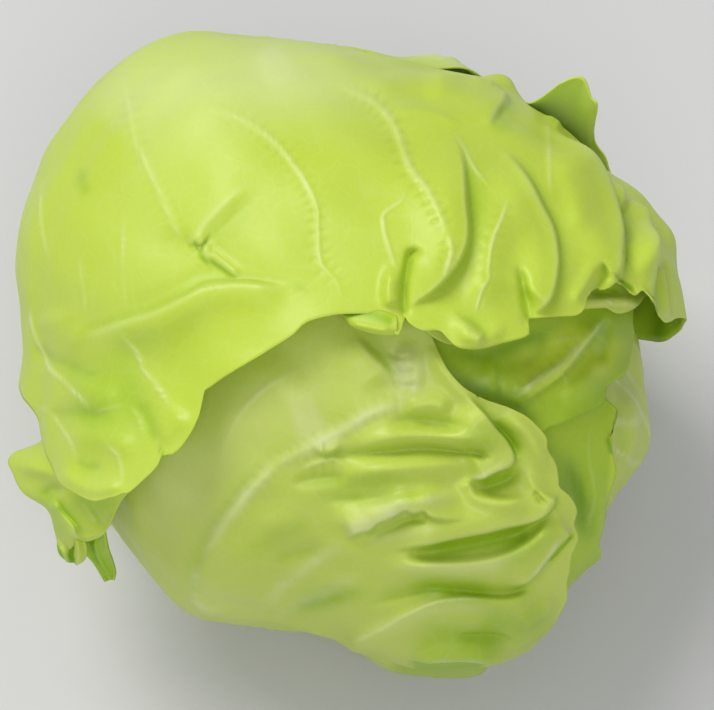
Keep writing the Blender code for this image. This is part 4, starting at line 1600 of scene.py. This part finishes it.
def right_leaf() -> Leaf:
    """The leaf at the right, below the pleats, with a rib down its middle."""
    return Leaf(
        name="right_leaf", slot="deep_leaf", middle=(28, 50), depth=11.1,
        margin=(
            petiole(52, -71),
            Hidden(((88, -36, 0), (96, -5, 0), (104, 28, 0), (126, 54, 0), (190, 70, 0), (254, 62, 0),
                (272, 44, 0), (298, 35, 0))),
            Seen(((530, 437, 0), (548, 428, 0.6), (560, 424, 1.2), (583, 415, 1.6), (603, 403, 1.6),
                (608, 387, 1.6), (621, 377, 1.6), (629, 365, 1.6), (634, 338, 1.2), (634, 318, 1))),
            Hidden(((2, 16, 0), (12, 4, 0), (22, -16, 0), (34, -44, 0))),
        ),
        fan=RibFan(((52, -69), (46, -20), (28, 50)), pairs=5), cells=(190, 190), focus=(0, 0.5),
        pull=(0.4, 0.9),
        folds=(
            Fold("fold beside the midrib", LAP, ((516, 408), (537, 392), (562, 373), (581, 350), (595, 331),
                (606, 318)), 3.2, 13, 2.4, (0.2, 0.2), 1.6),
            Fold("swell on the left", CREST, ((478, 360), (506, 380), (540, 366)), 1.8, 14, 18),
            Fold("swell on the right", CREST, ((600, 352), (588, 378), (558, 402)), 2.4, 12, 10),
            Fold("dip on the left", CREASE, ((496, 353), (498, 380), (497, 407)), 0.8, 3, 3),
            Fold("upper dip", CREASE, ((548, 330), (538, 350), (520, 368)), 1.2, 8, 8),
            Fold("right dip", CREASE, ((608, 316), (606, 340), (598, 366)), 1.4, 6, 6),
        ),
        veins=(
            Vein("midrib", ((602, 319), (594, 329), (583, 342), (560, 365), (537, 380), (520, 394),
                (509, 406)), 2.8, 0.6, 0.9, (0.1, 0.2), 0.1),
            Vein("upper side vein", ((586, 338), (560, 340), (534, 352)), 1.4, 0.2, 0.3, (0.1, 0.5)),
            Vein("lower side vein", ((560, 370), (566, 384), (560, 404)), 1.4, 0.2, 0.3, (0.1, 0.5)),
            Vein("right side vein", ((592, 332), (608, 346), (612, 368)), 1.4, 0.2, 0.3, (0.1, 0.5)),
        ),
        tints=(
            # Painted shade under the pleats and along the front leaf's edge.
            Tint("under the pleats", ((436, 345), (480, 356), (530, 338), (570, 322)), 8, deep=0.8),
            Tint("by the front leaf", ((450, 362), (470, 384), (510, 402), (545, 424)), 7, deep=0.9),
            Tint("lit top", ((600, 334), (560, 352), (510, 376)), 26, pale=1),
            Tint("lit right side", ((620, 330), (612, 350), (590, 380)), 12, pale=0.8),
            # Painted shade on the low side.
            Tint("low side", ((556, 424), (590, 408), (620, 376)), 10, deep=0.5),
        ),
        ruffle=0.5,
    )


def lower_right_leaf() -> Leaf:
    """The leaf at the lower right, under the right leaf."""
    return Leaf(
        name="lower_right_leaf", slot="deep_leaf", middle=(296, 8), depth=14.6,
        margin=(
            petiole(288, -70),
            Hidden(((312, -42, 0), (318, -33, 0), (323, -28, 0), (326, -23, 0.6))),
            Seen(((600, 547, 1.2), (604, 530, 2), (607, 508, 2.5), (613, 486, 2.5), (617, 472, 2.5),
                (615, 456, 2.5), (614, 440, 2), (612, 422, 1.5), (608, 402, 0.5))),
            Hidden(((334, 40, 0), (322, 54, 0), (292, 56, 0), (266, 42, 0), (256, 12, 0), (258, -18, 0),
                (266, -44, 0))),
        ),
        fan=RibFan(((288, -68), (292, -30), (296, 20)), pairs=5), cells=(170, 160),
        folds=(
            Fold("swell", CREST, ((584, 424), (590, 470), (588, 520)), 1.8, 12, 10),
            Fold("dip", CREASE, ((566, 450), (578, 490), (584, 540)), 1.4, 6, 6),
            Fold("lower swell", CREST, ((600, 480), (596, 516), (590, 546)), 1.2, 6, 6),
        ),
        veins=(
            Vein("long vein", ((592, 420), (588, 450), (592, 490), (586, 540)), 1.4, 0.2, 0.3, (0.3, 0.3)),
        ),
        tints=(
            # Painted shade along the front leaf's edge.
            Tint("by the front leaf", ((556, 440), (570, 480), (584, 520), (580, 556)), 10, deep=0.7),
            Tint("edge", ((613, 420), (614, 460), (606, 510)), 4, pale=0.5),
            Tint("small spot", ((609, 444), (610, 448)), 2.5, deep=1, ends=(0, 0)),
        ),
        ruffle=0.5,
    )


def far_right_leaf() -> Leaf:
    """The pale leaf at the far right, behind the others."""
    return Leaf(
        name="far_right_leaf", slot="pale_leaf", middle=(344, 0), depth=18,
        margin=(
            petiole(346, -69),
            Hidden(((24, -40, 0), (36, -8, 0), (32, 22, 0), (10, 42, 0), (340, 46, 0), (314, 36, 0),
                (308, 10, 0), (314, -16, 0), (322, -42, 0))),
        ),
        fan=RibFan(((346, -67), (345, -30), (344, 30)), pairs=5, shown=True, swell=0.6),
        cells=(120, 120),
        folds=(Fold("swell", CREST, ((628, 380), (630, 430), (622, 470)), 1.2, 8, 8),),
        # Painted shade by the edges of the leaves over it.
        tints=(Tint("deep by the edge", ((620, 360), (618, 420), (622, 480)), 6, deep=0.4),),
        bulges=(Bulge("shoulder of its edge", (344, -9), 8, 1.8), Bulge("upper edge", (359, 1), 8, 6)),
        ruffle=0.4,
    )


def back_right_leaf() -> Leaf:
    """The leaf at the back right, whose pale rim and upright tip show above the pleats."""
    rim = Hidden(((91, 27, -2), (88, 33, -2), (84, 37, -2), (78, 39, -2), (72, 38, -2), (67, 35, -2),
        (63, 30, -2), (60, 24, -1.6), (57, 19, -1.4), (54, 20, -1.2), (51.5, 24.5, -1.2), (49, 26, -1.2)))
    tip = Seen(((539, 108, -2), (547, 97, 1.2), (556, 87, 4.4), (565, 80, 7.6), (573, 77, 9.6),
        (581, 86, 7.6), (589, 99, 5.6), (595, 110, 4.4)))
    return Leaf(
        name="back_right_leaf", slot="outer_leaf", middle=(54, -8), depth=-2.5,
        margin=(petiole(48, -74), Hidden(((90, -46, 0), (98, -22, 0), (100, 0, 0), (97, 16, 0))), rim, tip,
            Hidden(((35.5, 17.4, 3.4), (32, 15, 1.6), (28.5, 11, -0.4), (25, 5, -0.4), (21, -8, 0),
            (16, -26, 0), (14, -48, 0)))),
        fan=RibFan(((48, -72), (52, -30), (56, 26)), pairs=7, spread=34, reach=44, shown=True),
        cells=(220, 220), pull=(0.3, 0.8), focus=(-0.2, 0.8), lift_starts=0.7,
        bulges=(
            # The rim's humps and the upright tip are painted paler: partly their own paler tone, partly
            # painted light.
            Bulge("first hump of the rim", (87, 28), 5, -0.2, pale=1),
            Bulge("dip of the rim", (79.5, 29), 7.5, -2),
            Bulge("second hump of the rim", (68, 27), 7, 3.2, pale=1),
            Bulge("hump right of the knob", (49, 22), 4, -0.8, pale=0.8),
            Bulge("upright tip", (43, 22), 9, 0, pale=1),
        ),
        ruffle=0.3,
    )


@dataclass
class InnerHead:
    """The tight ball of inner leaves, with a pocket for the stem's core.

    Attributes:
        depth: How far below the outermost level it lies, in millimetres.
        pocket: The pocket's wall, as radius and height above the floor.
        rings: How many rings of points its outside has.
        around: How many points a ring has.
        wraps: How many leaf edges wrap round it.
        step: How high each edge stands, in millimetres.
    """

    depth: float = 21.6
    pocket: tuple[Pixel, ...] = ((0.0146, 0.022), (0.0100, 0.050), (0.0056, 0.064), (0.0, 0.0686))
    rings: int = 92
    around: int = 200
    wraps: int = 5
    step: float = 1.6

    def build(self, form: HeadForm, view: PhotoView, finish: Material) -> Object:
        """Makes the ball as rings from its crown to the pocket's rim and up the pocket.

        A ring's radius is the head's less the depth. Leaf edges wrap round in a spiral: the
        height across each is a slow rise and a quick smooth fall.

        Returns:
            The new object.
        """
        turn = np.arange(self.around) / self.around * math.tau
        polar = np.linspace(0.0, 1.0, self.rings + 1)[1:] * math.radians(165.0)
        polar, azimuth = np.meshgrid(polar, turn, indexing="ij")
        direction = np.stack(
            [np.sin(polar) * np.cos(azimuth), np.sin(polar) * np.sin(azimuth), np.cos(polar)], -1
        )
        phase = np.mod(azimuth / math.tau * self.wraps + 1.1 * polar, 1.0)
        edge = phase - smoothstep(0.90, 1.0, phase)
        fade = smoothstep(0.1, 0.6, polar) * (1 - smoothstep(2.2, 2.7, polar))
        radius = form.radius(view, direction) - self.depth * MM
        radius = radius + self.step * MM * (edge - 0.5) * fade
        middle = np.array(form.middle)
        outside = middle + radius[..., None] * direction
        wall = np.array(self.pocket[:-1])
        circle = np.stack([np.cos(turn), np.sin(turn)], axis=-1)
        inside = np.concatenate([
            wall[:, None, :1] * circle,
            np.broadcast_to(wall[:, None, 1:], (len(wall), self.around, 1)),
        ], axis=-1)
        rings = np.concatenate([outside, inside])
        upward = np.array([0.0, 0.0, 1.0])
        crown = middle + (form.radius(view, upward) - self.depth * MM) * upward
        tip = np.array([0.0, 0.0, self.pocket[-1][1]])
        mesh = ringed_mesh("inner_head", rings, crown, tip)
        veins = np.exp(-(((np.mod(phase * 3.0, 1.0) - 0.5) / 0.09) ** 2)) * fade
        full = np.zeros(rings.shape[:2])
        full[: len(outside)] = veins * 0.5
        # Painted shade just before each leaf edge's fall, under the edge above.
        shade = np.zeros(rings.shape[:2])
        shade[: len(outside)] = smoothstep(0.88, 1.0, phase) * 0.8
        paint_rings(mesh, {"vein": full, "deep": shade, "pale": np.zeros_like(full)})
        return add_piece(mesh, finish, "inner_head")


def ringed_mesh(name: str, rings: Array, start: Array, end: Array) -> Mesh:
    """A closed surface of rings of points, closed by a fan of triangles at each end.

    Args:
        name: The mesh's name.
        rings: Points on a grid, each row once round.
        start: The point that closes the first ring.
        end: The point that closes the last ring.

    Returns:
        The mesh, shaded smooth, with the rings' points first.
    """
    count, around = rings.shape[:2]
    numbers = np.arange(count * around).reshape(count, around)
    onward = np.roll(numbers, -1, axis=1)
    quads = np.stack([numbers[:-1], numbers[1:], onward[1:], onward[:-1]], -1).reshape(-1, 4)
    first = np.stack([np.full(around, count * around), numbers[0], onward[0]], -1)
    last = np.stack([np.full(around, count * around + 1), onward[-1], numbers[-1]], -1)
    mesh = bpy.data.meshes.new(name)
    vertices = np.concatenate([rings.reshape(-1, 3), start[None], end[None]])
    mesh.from_pydata(vertices.tolist(), [], quads.tolist() + first.tolist() + last.tolist())
    mesh.shade_smooth()
    return mesh


def paint_rings(mesh: Mesh, paints: Paints) -> None:
    """Keeps numbers at each ring point as the mesh's attributes, and 0 at its two ends."""
    for key, values in paints.items():
        layer = mesh.attributes.new(key, "FLOAT", "POINT")
        layer.data.foreach_set("value", np.append(values.ravel(), [0.0, 0.0]).astype(np.float32))


@dataclass
class Stem:
    """The stump that the cabbage stands on, with its core above.

    Attributes:
        profile: Radius and height, from the cut face up.
        tip: The core's height.
        around: How many points a ring has.
        ribs: How many ribs run up it, where leaves grew.
        rib_height: How far they stand out, as a share of the radius.
    """

    profile: tuple[Pixel, ...] = (
        (0.0148, 0.0), (0.0158, 0.0004), (0.0168, 0.0016), (0.0166, 0.006), (0.0163, 0.011),
        (0.0152, 0.018), (0.0140, 0.024), (0.0118, 0.037), (0.0095, 0.050), (0.0050, 0.064),
    )
    tip: float = 0.068
    around: int = 160
    ribs: int = 8
    rib_height: float = 0.03

    def build(self, finish: Material) -> Object:
        """Turns the profile, with a wave round it that fades towards the cut face and the tip."""
        profile = smooth_path(np.array(self.profile), 0.0008)
        inward = np.linspace(0.04, 1.0, 14)[:-1, None] * np.array([[self.profile[0][0], 0.0]])
        face = len(inward)
        profile = np.concatenate([inward, profile])[::-1]
        turn = -np.arange(self.around) / self.around * math.tau
        share = np.clip(profile[:, 1] / self.tip, 0, 1)
        wave = self.rib_height * np.sin(share * math.pi)[:, None] * np.sin(self.ribs * turn)[None]
        radius = profile[:, :1] * (1 + wave)
        height = np.broadcast_to(np.maximum(profile[:, 1:], 0.0), radius.shape)
        rings = np.stack([radius * np.cos(-turn), radius * np.sin(-turn), height], axis=-1)
        mesh = ringed_mesh("stem", rings, np.array([0, 0, self.tip]), np.zeros(3))
        cut = np.zeros(rings.shape[:2])
        cut[-face:] = 1.0
        paint_rings(mesh, {"cut": cut})
        return add_piece(mesh, finish, "stem")


@dataclass(frozen=True)
class StemFinish:
    """The stem's finish: pale green sides with fibres, and a drier cut face with rings."""

    side: Colour = (0.62, 0.70, 0.34)
    dry: Colour = (0.55, 0.42, 0.22)
    face: Colour = (0.78, 0.76, 0.52)
    roughness: float = 0.62
    grain: float = 0.4

    def material(self) -> Material:
        """The material: fibres up the sides from stretched noise, rings on the cut face."""
        made = bpy.data.materials.new("stem")
        made.use_nodes = True
        tree = made.node_tree
        shader = tree.nodes["Principled BSDF"]
        place = tree.nodes.new("ShaderNodeTexCoord").outputs["Object"]
        stretch = tree.nodes.new("ShaderNodeMapping")
        stretch.inputs["Scale"].default_value = (1.0, 1.0, 0.12)
        tree.links.new(place, stretch.inputs["Vector"])
        fibres = noise_node(tree, stretch.outputs["Vector"], 900.0, 3.0)
        rings = tree.nodes.new("ShaderNodeTexWave")
        rings.wave_type = "RINGS"
        rings.rings_direction = "Z"
        rings.inputs["Scale"].default_value = 240.0
        rings.inputs["Distortion"].default_value = 3.0
        tree.links.new(place, rings.inputs["Vector"])
        dryness = math_node(tree, "MULTIPLY", rings.outputs["Fac"], 0.45)
        face = blend_node(tree, self.face, self.dry, dryness)
        side = blend_node(tree, self.side, self.dry, math_node(tree, "MULTIPLY", fibres, 0.5))
        colour = blend_node(tree, side, face, attribute_node(tree, "cut"))
        tree.links.new(colour, shader.inputs["Base Color"])
        shader.inputs["Roughness"].default_value = self.roughness
        shader.inputs["Metallic"].default_value = 0.0
        add_bump(tree, fibres, self.grain)
        return made


@dataclass
class Lamp:
    """A soft square lamp: where it stands, its side, and its power in watts."""

    name: str
    place: Point
    side: float
    power: float
    colour: Colour = (1.0, 1.0, 1.0)

    def build(self, target: Point) -> Object:
        """Adds the lamp, turned towards the target."""
        light = bpy.data.lights.new(self.name, "AREA")
        light.size = self.side
        light.energy = self.power
        light.color = self.colour
        lamp = bpy.data.objects.new(self.name, light)
        lamp.location = self.place
        away = np.array(self.place) - np.array(target)
        flat = math.hypot(away[0], away[1])
        lamp.rotation_euler = (math.atan2(flat, away[2]), 0.0, math.atan2(away[0], -away[1]))
        bpy.context.scene.collection.objects.link(lamp)
        return lamp


@dataclass
class Studio:
    """The plain pale floor, the soft lamps and the even light around.

    Attributes:
        floor_side: The floor's side.
        floor_colour: Its colour.
        surround: The strength of the light from all round.
        lamps: The lamps.
    """

    floor_side: float = 6.0
    floor_colour: Colour = (0.62, 0.62, 0.63)
    surround: float = 0.42
    lamps: tuple[Lamp, ...] = (
        Lamp("key", (-0.62, 0.45, 1.52), 0.8, 16.5, (1.0, 0.99, 0.97)),
        Lamp("fill", (0.15, -1.15, 1.25), 0.9, 8.5),
    )

    def build(self, target: Point) -> None:
        """Adds the floor, the lamps and the surround, and keeps colours as they are lit."""
        half = self.floor_side / 2
        mesh = bpy.data.meshes.new("floor")
        corners = [(-half, -half, 0), (half, -half, 0), (half, half, 0), (-half, half, 0)]
        mesh.from_pydata(corners, [], [(0, 1, 2, 3)])
        made = bpy.data.materials.new("floor")
        made.use_nodes = True
        shader = made.node_tree.nodes["Principled BSDF"]
        shader.inputs["Base Color"].default_value = (*self.floor_colour, 1.0)
        shader.inputs["Roughness"].default_value = 0.9
        mesh.materials.append(made)
        floor = bpy.data.objects.new("floor", mesh)
        bpy.context.scene.collection.objects.link(floor)
        for lamp in self.lamps:
            lamp.build(target)
        world = bpy.data.worlds.new("surround")
        world.use_nodes = True
        background = world.node_tree.nodes["Background"]
        background.inputs["Color"].default_value = (1.0, 1.0, 1.0, 1.0)
        background.inputs["Strength"].default_value = self.surround
        bpy.context.scene.world = world
        bpy.context.scene.view_settings.view_transform = "Standard"


@dataclass
class Cabbage:
    """The whole cabbage: its form, its leaves, its inner head and its stem."""

    form: HeadForm = field(default_factory=HeadForm)
    leaves: tuple[Leaf, ...] = field(
        default_factory=lambda: (
            top_leaf(), inner_top_leaf(), front_leaf(), left_leaf(), right_leaf(),
            lower_right_leaf(), far_right_leaf(), back_right_leaf(),
        )
    )
    inner_head: InnerHead = field(default_factory=InnerHead)
    stem: Stem = field(default_factory=Stem)
    finishes: tuple[LeafFinish, ...] = (
        LeafFinish("outer_leaf", (0.49, 0.635, 0.055), (0.61, 0.73, 0.26), (0.29, 0.48, 0.010),
            (0.70, 0.78, 0.34)),
        LeafFinish("pale_leaf", (0.50, 0.62, 0.085), (0.60, 0.68, 0.22), (0.30, 0.47, 0.012),
            (0.72, 0.77, 0.46)),
        LeafFinish("deep_leaf", (0.37, 0.54, 0.022), (0.58, 0.73, 0.05), (0.20, 0.37, 0.006),
            (0.60, 0.71, 0.26)),
        LeafFinish("inner_leaf", (0.40, 0.56, 0.05), (0.56, 0.68, 0.20), (0.14, 0.28, 0.01),
            (0.70, 0.77, 0.42)),
    )

    def build(self, view: PhotoView) -> None:
        """Builds every piece, from the outermost leaf to the stem."""
        tissue = leaf_tissue_group()
        made = {finish.name: finish.material(tissue) for finish in self.finishes}
        for leaf in self.leaves:
            leaf.build(self.form, view, made[leaf.slot])
        self.inner_head.build(self.form, view, made["inner_leaf"])
        self.stem.build(StemFinish().material())


def main() -> None:
    """Loads the frame, builds the view, the studio and the cabbage, and notes the sizes."""
    logging.basicConfig(level=logging.INFO, format="%(name)s: %(message)s")
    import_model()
    view = PhotoView()
    view.add_camera()
    Studio().build(view.target)
    Cabbage().build(view)


if __name__ == "__main__":
    main()
